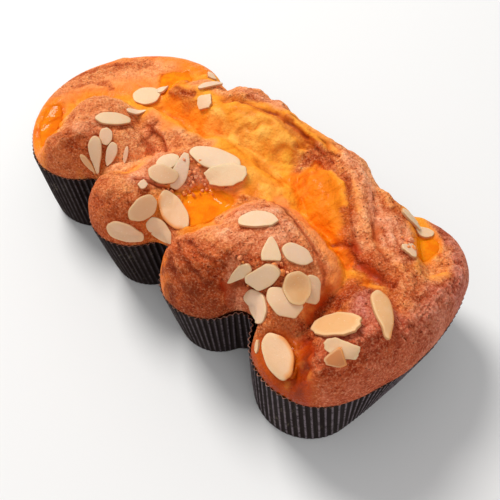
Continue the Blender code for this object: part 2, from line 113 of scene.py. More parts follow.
DOMES = {name: sizes for name, *sizes in rows("""
far_cap 39.5 12 | -78 -50  -84 -30  -81 -8  -72 1  -58 3  -56 16  -58 32  -56 54  -90 50
     -112 10  -108 -30
first_dome 55 22 | -52 -62  -68 -60  -72 -36  -81 -24  -82 -10  -76 0  -64 2  -49 1  -43 -5
     -33 -8  -31 -18  -38 -28  -43 -38
second_dome 55 22 | -44 -38  -40 -29  -33 -24  -34 -10  -27 2  -20 9  -5 10  6 6  8 -3
     -2 -10  -7 -18  -5 -28  -2 -40  -4 -62  -38 -62
third_dome 59.7 28 | -3 -36  5 -29  9 -19  8 -5  18 6  34 9  47 6  60 1  63 -10  66 -22
     66 -30  58 -38  48 -44  40 -62  6 -62  0 -48
end_cap 58 20 | 57 -4  66 4  80 5  96 0  122 -10  104 -58  84 -64  72 -44  65 -32  63 -18
end_shoulder 52 20 | 64 2  68 14  76 22  80 36  98 34  120 -6  96 -16  80 -6
far_strand 54.5 19 | -41 22  -36 12  -22 12  -8 14  4 17  12 23  22 29  34 28  44 24  50 38
     36 50  20 48  8 60  -2 62  -12 55  -22 47  -34 51  -42 46
inner_swell 53 11 | 10 27  13 17  26 9  42 4  56 0  67 3  60 11  49 18  39 25  27 32  15 33
""")}
STRANDS = dict(rows("""
flap | -48 -2 49 7  -38 -1 50 8  -27 0 49 8
second_shoulder | -14 4 49 12  2 3 49 12  17 5 48 10
far_strand_start | -54 21 47 9  -46 25 49 11  -36 22 49 10
cross_strand | 24 35 52 9  37 28 52 10  46 20 51 9  55 13 50 8  67 8 49 8
end_strand | 46 32 49 10  54 27 50 10  62 19 50 10  70 12 51 10  79 3 51 9
""", 4))
BLEND = 1.2 * MM
SIDE_BLEND = 3.5 * MM
CROWN = 0.7
FLANK = 1.6

# Creases between strands: depth, half width, then points x, y.
CREASES = rows("""
3 2.2 | -36 -11  -31 -10  -27 -9
2.5 3 | 36 -32  43 -30  50 -27  54 -21
2.5 2 | 12 -34  20 -39  32 -38
2 2 | 22 -33  30 -34  38 -36
2.2 2.6 | -32 26  -20 31  -6 32  8 31  20 28
2 2.5 | 70 6  79 -1  87 -12
3.5 6 | -54 9  -44 11  -33 10
1.6 2.4 | 40 33  50 22  58 15  66 12
1.8 2 | 22 31  33 27  42 20  50 13  58 8
""")

# %% [markdown]
# Jam shows in five patches, and there are forty almond flakes.  A flake is given by its
# place, length, width, turn, how pointed its end is, where its tip is broken off, how far
# it is lifted by what lies under it, and how far it is toasted.

# %% Jam and almonds
JAM_PATCHES = dict(rows("""
apricot_jam_middle | -6 -20  -9 -17  -7 -12  -4 -9  3 -7  8 -6  9 -10  8 -15  7 -21  5 -26
     0 -27  -5 -24
apricot_jam_front | 56 -38.5  57 -36  61 -33  66 -33  69 -36  71.5 -40  70.5 -41.4  66 -42.5
     61 -42  58 -40.5
apricot_jam_far_left | -92 -25  -88 -20.5  -83 -23.5  -79 -28  -76 -32.5  -72 -36.5  -71 -41
     -78 -38  -84.5 -33.7  -89 -29
apricot_jam_far_right | -74 23  -67 17  -62 14  -58 17  -57 24  -61 31  -67 34  -72 29
apricot_jam_end | 65 23  68 20  71 21  73 26  73 32  70 36  66 33  64 28
"""))
FLAKES = np.array("""
-66 9 12 11.5 46 0 1 0 0    -63 17 7 6.5 59 0.8 0.6 0.4 0
-38 19 9.5 8 -45 0.15 0.75 0.3 0.2    -44 27 12 3.6 78 0.3 1 0.3 0.1
-57 38 6 5 24 0 1 0.4 0.1    -51 -17 14 7.5 61 0.3 1 0 0.1    -52 -6 8.5 4.5 66 0.7 1 0.5 0
-46 -30 15 7 -44 0.6 1 0.7 0.2    -47 -24 7 5 -42 0 1 0 0.3    -42 -26 9.5 5 -69 0.4 1 0 0.1
-48 -33 9.5 3 14 0.3 1 1.2 0.5    -38 -22 6.8 2 -58 0.3 1 0 0.2
-9 -1 20.5 11 27 0.2 1 0.2 0    -1 -3 17.5 11.5 45 -0.3 1 1 0.15
-16 -21 11.5 8 55 0 1 0.9 0.35    -19 -16 9.5 6.5 87 0 1 0.2 0.1
-14 -14 16 7.6 -62 -0.5 1 0.4 0.15    -16 -30 6 4 94 -0.3 0.8 0.3 0
-10 -35 12 8 88 0 1 0 0.3    -4 -26 17 9 -12 0 1 1 0.4    -3 -33 12.5 7.6 11 0.3 1 0.5 0.2
-11 -43 14 8.6 38 0.3 1 1.4 0.35    28 -14 14 10.5 39 0.2 1 0 0.2
41 -21 11.5 9.5 136 0.8 0.9 0.8 0.15    47 -14 12 9.6 39 0.5 1 0 0.2
44 -27 13.5 10 -142 -0.3 1 0.7 0.2    37 -31 10.5 5.5 -120 0.6 1 0 0.1
53 -22 11 9.5 -44 0 1 2.4 0.6    57 -18 10.5 8 -50 0.2 1 0.3 0.2
47 -32 13 10 -16 0 1 0 0.2    55 -28 13.5 8.5 13 0 1 0.5 0.25
73 -23 21.5 12 16 0.2 0.85 0.9 0.7    80 -11 20 9 -43 0.5 1 0 0.6
80 -29 13 6 34 0 0.8 0 0.3    80 -32 8.5 8 -126 0.7 0.8 0.7 1
64 -39 16 10 -21 0.1 1 0.4 0.35    56 -40.2 4.5 2 -50 0 1 0.2 0.3    68 19 7 7 37 0 1 0 0.3
64 34 7.5 4.5 44 0 1 0 0.2    59 32 11.5 4.5 21 0.3 1 0 0.1
""".split(), float).reshape(-1, 9)
FLAKE_PLATE, FLAKE_SINK = 0.65 * MM, 0.3 * MM
FLAKE_GIVE, FLAKE_BEND = 0.5, 2.0 * MM
print(len(FLAKES), "flakes,", len(JAM_PATCHES), "patches of jam")

# %% [markdown]
# ## Outlines
#
# A lobed outline is a chain of arcs that touch each other.  An arc that rounds a notch
# has its centre where circles about the two lobes, grown by the notch's radius, cross.
# With arcs the exact distance from any place to the outline costs one square root for
# each arc, and that distance later rolls the crust over at its edge.

# %% Chains of arcs
FAR = 1.0
SECTOR_SLACK = 0.002


def arc_chain(lobes, notch, ends):
    """Arcs (x, y, radius, first angle, last angle, side) along the near half.

    A notch's centre lies where circles of the lobes' radii plus the notch's cross.
    """
    centres = [np.array([x, -y]) for x, y, _ in lobes]
    radii = [r for _, _, r in lobes]

    def angle(start, end):
        return np.arctan2(end[1] - start[1], end[0] - start[0])

    far = np.array([centres[0][0] + ends[0], 0.0])
    near = np.array([centres[3][0] - ends[1], 0.0])
    notches = []
    for k in range(3):
        across = centres[k + 1] - centres[k]
        span = np.hypot(*across)
        one, two = radii[k] + notch, radii[k + 1] + notch
        along = (one ** 2 - two ** 2 + span ** 2) / (2 * span)
        unit = across / span
        outward = np.array([unit[1], -unit[0]])
        middle = centres[k] + unit * along + outward * np.sqrt(one ** 2 - along ** 2)
        notches.append((middle, angle(centres[k], middle), angle(centres[k + 1], middle)))
    start = angle(far, centres[0])
    start -= 2 * np.pi * (start > 0)
    chain = [(*far, np.hypot(*(far - centres[0])) + radii[0], -np.pi, start, 1)]
    for k in range(4):
        first = start if k == 0 else notches[k - 1][2]
        last = angle(near, centres[3]) if k == 3 else notches[k][1]
        chain.append((*centres[k], radii[k], first, last, 1))
        if k < 3:
            middle, one, two = notches[k]
            chain.append((*middle, notch, one + np.pi, two + np.pi, -1))
    chain.append((*near, np.hypot(*(near - centres[3])) + radii[3],
                  angle(near, centres[3]), 0.0, 1))
    return chain


def trace(chain, counts):
    """Points and outward normals along a chain, with counts[k] steps on arc k."""
    points, normals = [], []
    for k, ((x, y, r, first, last, side), count) in enumerate(zip(chain, counts)):
        steps = np.arange(count + (k == len(chain) - 1)) / count
        turn = first + (last - first) * steps
        way = np.stack([np.cos(turn), np.sin(turn)], axis=1)
        points.append(np.array([x, y]) + r * way)
        normals.append(side * way)
    return np.concatenate(points), np.concatenate(normals)


RIM_CHAIN = arc_chain(RIM_LOBES, RIM_NOTCH, RIM_ENDS)
BASE_CHAIN = arc_chain(BASE_LOBES, BASE_NOTCH, BASE_ENDS)
CRUST_CHAINS = [arc_chain(RIM_LOBES, notch, RIM_ENDS) for notch in CRUST_NOTCHES]


def wall_line(height, counts, inset):
    """Near half of the wall at a height: rim and base lines mixed by height, moved in."""
    rim, rim_out = trace(RIM_CHAIN, counts)
    base, base_out = trace(BASE_CHAIN, counts)
    share = height / RIM_HEIGHT
    out = rim_out * share + base_out * (1 - share)
    out /= np.hypot(*out.T)[:, None]
    line = rim * share + base * (1 - share) - out * np.broadcast_to(inset, len(rim))[:, None]
    line[[0, -1], 1] = 0.0
    return line


def whole_ring(line):
    """Close a near half into a ring, with its mirror image as the far half."""
    return np.concatenate([line[:-1], (line * (1, -1))[:0:-1]])


def distance_inside(x, y):
    """Distance from the crust's outline, positive inside: the least of radius minus
    distance to the centre, over the arcs whose sector holds the place."""
    best = np.full(np.shape(x), FAR)
    for half, chain in zip((1, -1), CRUST_CHAINS):
        for cx, cy, radius, first, last, side in chain:
            dx, dy = x - cx, y - half * cy
            turn = np.arctan2(dy, dx) - half * (first + last) / 2
            turn = np.abs((turn + np.pi) % (2 * np.pi) - np.pi)
            off = side * (radius - np.hypot(dx, dy))
            within = turn <= abs(last - first) / 2 + SECTOR_SLACK
            closer = within & (np.abs(off) < np.abs(best))
            best = np.where(closer, off, best)
    return best - LOAF_INSET


print("rim reaches from", RIM_CHAIN[0][0] - RIM_CHAIN[0][2], "to",
      RIM_CHAIN[-1][0] + RIM_CHAIN[-1][2])

# %% [markdown]
# ## Height of the crust
#
# Each strand gives a height.  Their soft maximum, a logarithm of summed exponentials,
# lets them run into each other like risen dough.  A dome's side is a rounded step over
# the distance to its outline, and that distance is itself a soft minimum over the
# outline's sides, which keeps a dome's top free of seams.

# %% The height function
def along_line(points, x, y):
    """For each segment of a line, how far along it a place lies, the projection on it
    over its length, the distance to it, and its two ends."""
    points = np.array(points, float) * MM
    for start, end in zip(points[:-1], points[1:]):
        way = end[:2] - start[:2]
        share = ((x - start[0]) * way[0] + (y - start[1]) * way[1]) / (way @ way)
        share = np.clip(share, 0, 1)
        off = np.hypot(x - start[0] - share * way[0], y - start[1] - share * way[1])
        yield share, off, start, end


def distance_to_line(points, x, y, blend=0.0):
    """Distance in plan to a line of points: the least over its segments, or with a
    blend -b log(sum(exp(-d / b)))."""
    best = np.full(np.shape(x), FAR)
    total = np.full(np.shape(x), 1e-30)
    for _, off, *_ in along_line(points, x, y):
        best = np.minimum(best, off)
        if blend:
            total += np.exp(-off / blend)
    return np.clip(-blend * np.log(total), 0, None) if blend else best


def inside(outline, x, y):
    """Whether each place lies inside an outline: it crosses an odd number of sides."""
    odd = np.zeros(np.shape(x), bool)
    outline = np.array(outline, float) * MM
    for (ax, ay), (bx, by) in zip(outline, np.roll(outline, -1, axis=0)):
        spans = (ay > y) != (by > y)
        run = 1.0 if by == ay else (bx - ax) / (by - ay)
        odd ^= spans & (x < ax + (y - ay) * run)
    return odd


def depth_in(outline, x, y, blend=0.0):
    """Distance into an outline, negative outside."""
    ring = outline + outline[:1]
    return np.where(inside(outline, x, y), distance_to_line(ring, x, y, blend),
                    -distance_to_line(ring, x, y))


def dome(crest, border, outline, x, y):
    """valley + rise * (1 - (1 - d / border)^2)^crown at distance d into the outline."""
    depth = depth_in(outline, x, y, SIDE_BLEND)
    short = 1 - np.clip(depth / (border * MM), 0, 1)
    valley = np.interp(x, VALLEY_X, VALLEY_Z)
    raised = valley + (crest * MM - valley) * (1 - short ** 2) ** CROWN
    return np.where(depth > 0, raised, valley + FLANK * depth)


def ridge(points, x, y):
    """valley + rise * (1 - (d / width)^2)^crown at distance d from the crest's line."""
    valley = np.interp(x, VALLEY_X, VALLEY_Z)
    best = np.full(np.shape(x), -FAR)
    for share, off, start, end in along_line(points, x, y):
        crest, width = [start[k] + share * (end[k] - start[k]) for k in (2, 3)]
        inner = np.clip(1 - (off / width) ** 2, 0, 1) ** CROWN
        height = valley + (crest - valley) * inner - FLANK * np.clip(off - width, 0, None)
        best = np.maximum(best, height)
    return best


def crust_height(x, y):
    """Soft maximum of all strands, less the creases, rolled over towards the rim."""
    heights = [dome(*sizes, x, y) for sizes in DOMES.values()]
    heights += [ridge(points, x, y) for points in STRANDS.values()]
    heights.append(np.interp(x, VALLEY_X, VALLEY_Z))
    top = np.max(heights, axis=0)
    height = top + BLEND * np.log(sum(np.exp((h - top) / BLEND) for h in heights))
    for depth, width, points in CREASES:
        height -= depth * MM * np.exp(-(distance_to_line(points, x, y) / (width * MM)) ** 2)
    short = 1 - np.clip(distance_inside(x, y) / EDGE_ROLL, 0, 1)
    edge = RIM_HEIGHT + EDGE_RISE
    return edge + (height - edge) * np.sqrt(1 - short ** 2)


print("crest of the tallest dome", crust_height(np.array([30 * MM]), np.array([-16 * MM])))

# %% [markdown]
# ## Noise
#
# Baked dough is never even.  Value noise gives every point of a lattice a fixed random
# number and blends between them, and a few octaves of it make lumps, wrinkles and grain.

# %% Value noise on whole arrays
HASH_AXES = np.array([73856093, 19349663, 83492791])
HASH_SEED, HASH_ONE, HASH_TWO = 2654435761, 1274126177, 2246822519
HASH_BITS = 0xFFFFFFFF


def value_noise(points, size, seed):
    """Smooth noise from 0 to 1: a hash of the eight lattice corners, blended by
    t^2 (3 - 2t) along each axis."""
    place = points / size
    cell = np.floor(place).astype(np.int64)
    part = place - cell
    part = part * part * (3 - 2 * part)
    total = np.zeros(points.shape[:-1])
    for corner in range(8):
        step = np.array([corner & 1, corner >> 1 & 1, corner >> 2 & 1])
        key = (cell + step) @ HASH_AXES + seed * HASH_SEED
        key = (key ^ (key >> 13)) * HASH_ONE & HASH_BITS
        key = (key ^ (key >> 16)) * HASH_TWO & HASH_BITS
        share = np.where(step == 1, part, 1 - part).prod(axis=-1)
        total += share * ((key >> 7 & 0xFFFF) / 65535.0)
    return total


def octaves(points, size, count, seed):
    """Noise from -1 to 1: octaves of half the size and half the weight each."""
    total = sum(0.5 ** k * (value_noise(points, size * 0.5 ** k, seed + k) * 2 - 1)
                for k in range(count))
    return total / (2 - 0.5 ** (count - 1))


def smooth(low, high, value):
    """0 below low, 1 above high, and t^2 (3 - 2t) between."""
    t = np.clip((value - low) / (high - low), 0, 1)
    return t * t * (3 - 2 * t)


# %% [markdown]
# ## The loaf's surface
#
# The crust is a grid: columns follow the case's outline from the far end to the broad
# end, and rows run across from the near side to the far side.  The rows are spaced evenly
# along the surface, not in plan, so that the steep flanks get as many as the top.

# %% The grid
COLUMNS = (60, 30, 25, 55, 25, 55, 25, 45, 60)
ROWS, TRIAL_ROWS = 226, 121
EVENINGS = 30


def crust_sides(counts):
    """Near and far ends of each column, on the crust's outline, and the ways outwards."""
    sides, ways = [], []
    for half, chain in zip((1, -1), CRUST_CHAINS):
        line, out = trace(chain, counts)
        line = (line - out * LOAF_INSET) * (1, half)
        line[[0, -1], 1] = 0.0
        sides.append(line)
        ways.append(out * (1, half))
    return sides, ways


def between(near, far, share):
    """near (1 - share) + far share, for each column's pair of ends."""
    return near[:, None] * (1 - share[..., None]) + far[:, None] * share[..., None]


(near_side, far_side), (near_out, far_out) = crust_sides(COLUMNS)
trial = np.linspace(0, 1, TRIAL_ROWS)
plan = between(near_side, far_side, trial)
trial_height = crust_height(plan[..., 0], plan[..., 1])
level = np.hypot(*np.moveaxis(np.diff(plan, axis=1), 2, 0))
step = np.hypot(level, np.diff(trial_height, axis=1))
length = np.concatenate([np.zeros((len(plan), 1)), np.cumsum(step + 1e-6, axis=1)], axis=1)
for _ in range(EVENINGS):
    length[1:-1] = (length[:-2] + length[1:-1] + length[2:]) / 3
share = np.array([np.interp(np.linspace(0, row[-1], ROWS), row, trial) for row in length])
plan = between(near_side, far_side, share)
X, Y = plan[..., 0], plan[..., 1]
base_height = crust_height(X, Y)
inset = distance_inside(X, Y)
print("grid", X.shape, "height", base_height.min(), base_height.max())

# %% [markdown]
# ## Where the crust browns
#
# Heat browns what stands highest.  Each dome is brown from a little inside its outline,
# the valleys stay golden, and further strokes lay the darker seams, the toasted crests
# and the jam-stained hollows.  Some of the dark strokes are painted shade in the seams,
# grooves and gaps, and the dark border along the near rim is painted shade as well.  A
# stroke is a line with a width, and its border is frayed by noise.

# %% Tones and strokes
TONES = {
    "golden": (0.94, 0.31, 0.020), "butter": (0.98, 0.45, 0.080), "amber": (0.88, 0.18, 0.002),
    "jam": (0.92, 0.21, 0.001), "olive": (0.88, 0.34, 0.015),
    "terracotta": (0.78, 0.215, 0.066), "tan": (0.90, 0.31, 0.120), "peach": (0.96, 0.26, 0.058),
    "umber": (0.24, 0.035, 0.010), "brick": (0.50, 0.045, 0.004), "mauve": (0.61, 0.160, 0.104),
    "rust": (0.54, 0.085, 0.018), "blush": (0.90, 0.33, 0.17), "syrup": (0.46, 0.058, 0.003),
}
# How far each tone is browned, and how wet it is.
BROWN_TONES = {"terracotta": 1.0, "mauve": 1.0, "umber": 0.8, "rust": 0.75, "tan": 0.7,
               "blush": 0.6, "peach": 0.25}
WET_TONES = {"jam": 1.0, "syrup": 1.0, "amber": 0.5, "brick": 0.5, "olive": 0.4,
             "golden": 0.3, "butter": 0.2}
# Dome, tone, strength, depth where it starts and where it is full.
BROWNED_DOMES = [
    ("far_cap", "peach", 0.9, 0, 6),
    ("first_dome", "tan", 0.7, 0, 4), ("first_dome", "terracotta", 0.95, 2, 8),
    ("second_dome", "tan", 0.6, 0, 5), ("second_dome", "terracotta", 0.9, 2, 8),
    ("third_dome", "peach", 0.9, 0, 3), ("third_dome", "tan", 0.8, 1, 5),
    ("third_dome", "terracotta", 0.9, 4, 10),
    ("end_cap", "rust", 0.8, 0, 3), ("end_cap", "mauve", 0.95, 2, 8),
    ("end_shoulder", "mauve", 0.9, 0, 8),
    ("inner_swell", "amber", 0.9, 0, 5),
]
# Tone, strength, half width, then points x, y.  Some strokes are painted shade: the thin
# umber, brick and rust lines along the cracks and creases, the rust and brick in the valley
# between the swell and the end cap at y 4 to 10, the rust and brick along the groove at the
# end cap's near border, and the umber stroke in the gap at the front corner near 50, -36.
STROKES = rows("""
butter 0.6 7 | -16 20  -2 27  8 23
butter 0.9 4 | -30 16  -20 15  -10 16  0 14  8 14
olive 0.3 3 | -8 16  2 17  10 20
golden 0.9 7 | -10 8  4 7  16 8
butter 0.6 4 | -2 4  8 4  16 5
amber 0.45 5 | -53 11  -45 12  -36 12  -28 13
rust 0.5 3 | -50 17  -44 17
peach 0.8 3.5 | -46 -3  -37 -3  -30 -1
amber 0.85 3 | -51 8  -43 7  -37 5  -32 5
brick 0.8 1.8 | -44 -7  -38 -7  -33 -7  -30 -8
tan 0.8 5 | -50 26  -44 30  -38 31
peach 0.7 4 | -33 44  -10 48  14 48
tan 0.9 8 | -33 38  -20 42  -2 44  14 44  26 42  36 37
terracotta 0.8 3 | -34 29  -27 32  -20 36
blush 0.6 3 | -30 34  -22 36  -12 37
rust 0.5 2 | -34 25  -26 28  -14 31  0 32  10 32  22 31
brick 0.5 0.8 | -14 32  -6 33  2 33  10 33  22 32
terracotta 0.8 3 | 12 23  12 31  19 32  25 31  31 28
rust 0.7 1.2 | 12 25  13 30  19 31  25 30
rust 0.8 2 | 31 28  39 22  45 16  52 10  60 6
tan 0.8 5 | 24 38  37 31  47 23  56 15  66 10
terracotta 0.85 6 | 46 32  54 27  62 19  70 12  78 6
brick 0.5 1.4 | 40 31  50 22  58 14  65 10
blush 0.8 4 | 50 25  56 23  61 18  66 20
rust 0.9 4 | 50 10  56 8  62 8  68 6
brick 0.9 2.4 | 46 6  51 8  56 6
rust 0.95 3 | 54 4.5  61 4.5  67 3.5  72 4
brick 0.8 1.6 | 60 4  67 3.5
blush 0.6 4 | 24 38  33 34  43 28  50 21
amber 0.8 3 | 20 13  32 9  44 6  55 3
rust 0.9 3.5 | 62 -2  63 -12  64 -22  65 -30  70 -37
peach 0.7 6 | 43 -40  50 -38  58 -31
rust 0.7 4 | 14 -37  24 -36  34 -33
terracotta 0.9 5 | 0 -33  7 -36  13 -40  19 -44
rust 0.85 7 | 14 -41  21 -44  29 -43  37 -38
amber 0.9 2 | -2 -34  3 -37  8 -41  14 -46  19 -48
rust 0.6 6 | -16 -49  -28 -49  -36 -44
umber 0.55 0.9 | 14 -38  20 -42  26 -43  31 -41  35 -37  38 -34
umber 0.5 0.8 | 15 -44  21 -45  26 -45.5  30 -44  35 -40  39 -35
umber 0.45 0.8 | 12 -34  19 -36  27 -36.5  33 -34
umber 0.6 1.2 | 19 -47  25 -48  31 -45.5  37 -40
brick 0.55 1.1 | 20 1.5  27 0  39 -4.5  48 -7  55 -9  58 -14
blush 0.55 7 | 14 -14  25 -10  36 -13
blush 0.45 5 | 26 -25  34 -23  40 -18
peach 0.9 2.5 | 20 4.5  29 3  41 -1  52 -3.5  60 -8
terracotta 0.7 2 | 10 -16  8 -8  11 -4  17 -1
brick 0.9 1.6 | 35 -36  38 -32  43 -30  46 -26  46 -21
brick 0.8 1.4 | -20 -30  -17 -27  -14 -25  -11 -22  -11 -19
peach 0.9 5 | -11 -13  -5 -9  4 -4
amber 0.7 5 | -96 10  -92 24  -86 34
jam 0.9 6 | -78 30  -72 34  -64 40
amber 0.4 5 | -94 -12  -86 -6  -76 3  -72 10
rust 0.7 2.5 | -92 -22  -94 -19
jam 1 6 | -92 -24  -86 -33  -77 -40  -68 -46
olive 0.9 3 | -47 -38  -41 -40
jam 0.6 5 | 50 -38  56 -41  63 -43  70 -43
rust 0.9 6 | 66 -29  71 -36  76 -41  82 -47
brick 1 3.5 | 67 -31  71 -36  75 -40  79 -45
umber 0.9 2.5 | 50 -36  54 -41  59 -45
blush 0.6 4 | 36 -31  42 -34  47 -37
rust 0.8 2.5 | -57 17  -51 18  -46 20
blush 0.55 6 | -30 -13  -24 -20  -20 -27
blush 0.7 4 | -11 -14  -6 -9  0 -7
olive 0.6 2.5 | 5 24  8 22  10 18
amber 0.6 2 | 14 8  13 13  12 20
rust 0.5 2 | 6 28  9 24  12 20
amber 0.6 3.5 | 14 19  26 14  38 10  48 7
syrup 1 6 | 54 -44  60 -47  68 -46  73 -42
syrup 0.8 4 | 60 -31  66 -33  70 -37  73 -40
terracotta 0.7 4 | 50 -37  56 -34  61 -30
rust 0.8 3 | 42 17  47 12  50 8
tan 0.7 3 | 47 17  51 14  56 11
amber 0.9 4 | 38 6  44 5  50 3
brick 0.7 2 | 59 -10  61 -17  62 -24
blush 0.7 4 | 58 26  63 22  68 16
amber 0.5 4 | 63 31  68 36  78 33
tan 0.6 3 | 72 36  78 32  82 27
mauve 0.9 6 | 66 44  74 40  82 33  90 22
terracotta 0.8 3.5 | 74 34  77 26  76 18
tan 0.6 9 | -99 -14  -97 -4  -93 4  -88 13  -83 22  -76 26
terracotta 0.5 5 | -99 -10  -97 0  -92 12  -87 22
rust 0.6 1.6 | -101 -14  -100 -2  -96 9  -92 17
rust 0.6 1.4 | -93 -10  -91 -2  -86 3  -82 2
tan 0.85 6 | -43 -7  -40 -13  -37 -20  -37 -27
blush 0.4 4 | -54 -20  -52 -26  -56 -30
rust 0.6 1.5 | -44 -5  -41 -9  -36 -11
tan 0.8 5 | -34 -9  -28 -3  -20 3
""")
# A stroke is full up to the first share of its half width, and gone at the second.
STROKE_BORDER = 0.4, 1.3
FRAY_SIZE, SEED_STEP = 5 * MM, 40


def fray(points, amount, seed):
    """x + amount n1 and y + amount n2 with noises n1 and n2, to fray what is drawn."""
    return [points[..., k] + amount * octaves(points, FRAY_SIZE, 3, seed + SEED_STEP * k)
            for k in (0, 1)]


surface = np.stack([X, Y, base_height], axis=-1)
browning = np.zeros(X.shape)
tint = np.broadcast_to(TONES["golden"], (*X.shape, 3)).copy()
frayed = fray(surface, 2.0 * MM, 3)
wetness = np.full(X.shape, WET_TONES["golden"])


def lay(tone, strength, mask):
    """Mix a tone into the tint, and its browning and wetness with it."""
    mask = mask * strength
    tint[:] += (np.array(TONES[tone]) - tint) * mask[..., None]
    browning[:] += (BROWN_TONES.get(tone, 0.0) - browning) * mask
    wetness[:] += (WET_TONES.get(tone, 0.0) - wetness) * mask


for name, tone, strength, start, full in BROWNED_DOMES:
    depth = depth_in(DOMES[name][2], *frayed, SIDE_BLEND)
    lay(tone, strength, smooth(start * MM, full * MM, depth))
# Painted shade: the near domes' lower flanks by the rim are darkened with rust.
near_rim_painted_shade = (1 - smooth(1 * MM, 12 * MM, inset)) * smooth(5 * MM, -10 * MM, Y)
lay("rust", 0.70, near_rim_painted_shade)
for tone, strength, width, points in STROKES:
    off = distance_to_line(points, *frayed) / (width * MM)
    lay(tone, strength, 1 - smooth(*STROKE_BORDER, off))
print("browned share", float((browning > 0.5).mean()))

# %% [markdown]
# ## Relief
#
# The crust gets lumps, wrinkles and cracks.  The lists are in millimetres again.

# %% Cracks, dimples, folds and lumps
# Depth, half width, then points x, y.
CRACKS = rows("""
0.7 0.7 | -30 27  -20 30  -12 32  -2 33  8 33  18 32  25 31
0.8 0.7 | -6 36  4 36  13 36  22 34
1.2 0.7 | -45 -7  -40 -7  -36 -7  -31 -8
1 0.6 | -20 -30  -17 -27  -14 -25  -11 -22  -11 -19
1.2 0.8 | 35 -36  38 -32  43 -30  46 -27  47 -25  46 -21
1.6 1.8 | 67 -30  71 -36  75 -41  79 -46
1 1 | 46 5  52 7  58 5  66 3.5  73 4
0.8 1 | 60 -6  62 -14  63 -22
0.35 1 | -42 -2  -41 -9  -38 -16
0.8 1 | -57 18  -50 18  -44 20
0.8 0.8 | 14 -38  20 -42  26 -43  31 -41  35 -37  38 -34
0.7 0.8 | 15 -44  21 -45  26 -45.5  30 -44  35 -40  39 -35
0.6 0.7 | 12 -34  19 -36  27 -36.5  33 -34
0.6 0.8 | 19 -47  25 -48  31 -45.5  37 -40
0.25 0.8 | 20 1.5  27 0  39 -4.5  48 -7  55 -9  58 -14
0.4 0.8 | 42 31  50 22  58 14  65 10
0.6 0.7 | 31 28  39 22  45 16  52 10
""")
DIMPLES = rows("""
0.6 1.6 | -16 17  -13 21  -10 24  -8 28
0.5 1.5 | -12 16  -5 16  2 13  9 13  16 10
0.7 2 | 2 22  6 26  7 30
0.5 1.6 | -24 14  -16 12  -6 12
""")
# Folds that run with the pull of a strand: depth, width, direction, half width, points.
FOLDS = rows("""
0.5 1.6 15 8 | 14 -42  24 -43  34 -39
0.8 1.8 -38 7 | 44 32  54 26  64 18  76 8
0.7 1.6 -30 5 | 48 5  58 4  66 4
0.8 2 75 6 | 66 -4  66 -16  68 -28  72 -38
0.6 2.2 60 7 | -72 -28  -64 -36  -56 -40
0.6 2 10 5 | -30 34  -14 38  4 39  20 37
0.5 2 5 5 | -30 47  -10 50  14 50
""")
# Torn places, where the crumb shows: x, y, radius.
TORN = [(-9, -13, 5.5), (-12, -21, 3.5), (44, -26, 4.0), (8, 31, 4.0), (18, 32, 4.0)]
# Height, size, octaves or 0 for billows, and seed of the lumps on each kind of crust.
DRY_LUMPS = [(0.95, 7, 3, 11), (0.42, 3.4, 0, 12), (0.26, 1.6, 0, 16)]
MOIST_LUMPS = [(0.95, 9, 2, 13), (0.45, 4.5, 0, 18), (0.20, 2.0, 2, 14)]
GRAINY_LUMPS = [(0.38, 2.6, 0, 15), (0.22, 1.4, 0, 17)]
TORN_LUMPS = [(0.7, 2.6, 0, 91), (0.5, 1.3, 0, 92)]
# Height of a crack's banks over its depth, and how many half widths off they lie.
BANK_SHARE, BANK_OFF = 0.30, 2.2
print(len(CRACKS), "cracks,", len(DIMPLES), "dimples,", len(FOLDS), "folds")

# %% [markdown]
# Lumps are plain noise.  Wrinkled skin is noise folded at zero, which gives rounded
# bumps with sharp creases between them, and along a fold it is drawn out.

# %% Wrinkles and folds
def billow(points, size, seed):
    """Rounded bumps with sharp creases between them: 2 |2 n - 1| - 0.8 of a noise n."""
    return np.abs(value_noise(points, size, seed) * 2 - 1) * 2 - 0.8


def lumps(points, kinds):
    """The sum of height times noise over several kinds of noise, in millimetres."""
    return sum(height * (octaves(points, size * MM, count, seed) if count
                         else billow(points, size * MM, seed))
               for height, size, count, seed in kinds)


def turned(x, y, direction):
    """x cos a + y sin a along a direction a in degrees, and y cos a - x sin a aside."""
    turn = np.radians(direction)
    return x * np.cos(turn) + y * np.sin(turn), y * np.cos(turn) - x * np.sin(turn)


def streaks(points, across, direction, seed):
    """Billows drawn out to four times their width along a direction in plan."""
    along, aside = turned(points[..., 0], points[..., 1], direction)
    aside = aside + 0.8 * MM * octaves(points, 6 * MM, 2, seed + 5)
    return billow(np.stack([along / 4, aside, points[..., 2] * 0.3], axis=-1), across, seed)


normal = np.cross(np.gradient(surface, axis=0), np.gradient(surface, axis=1))
normal /= np.linalg.norm(normal, axis=-1, keepdims=True) + 1e-12
normal *= np.sign(normal[..., 2:] + 1e-9)
dry = smooth(0.2, 0.8, browning)
grainy = dry * smooth(58 * MM, 66 * MM, X)
lift = dry * lumps(surface, DRY_LUMPS)
lift += (1 - dry) * lumps(surface, MOIST_LUMPS)
lift += grainy * lumps(surface, GRAINY_LUMPS)
crack_places = fray(surface, 0.9 * MM, 21)
for number, (depth, across, direction, width, points) in enumerate(FOLDS):
    off = distance_to_line(points, *crack_places)
    near = 1 - smooth(0.5 * width * MM, 1.2 * width * MM, off)
    lift += depth * near * streaks(surface, across * MM, direction, 50 + number)
for x, y, radius in TORN:
    near = np.exp(-((X - x * MM) ** 2 + (Y - y * MM) ** 2) / (radius * MM) ** 2)
    lift += near * lumps(surface, TORN_LUMPS)
print("lumps and folds from", lift.min(), "to", lift.max(), "mm")
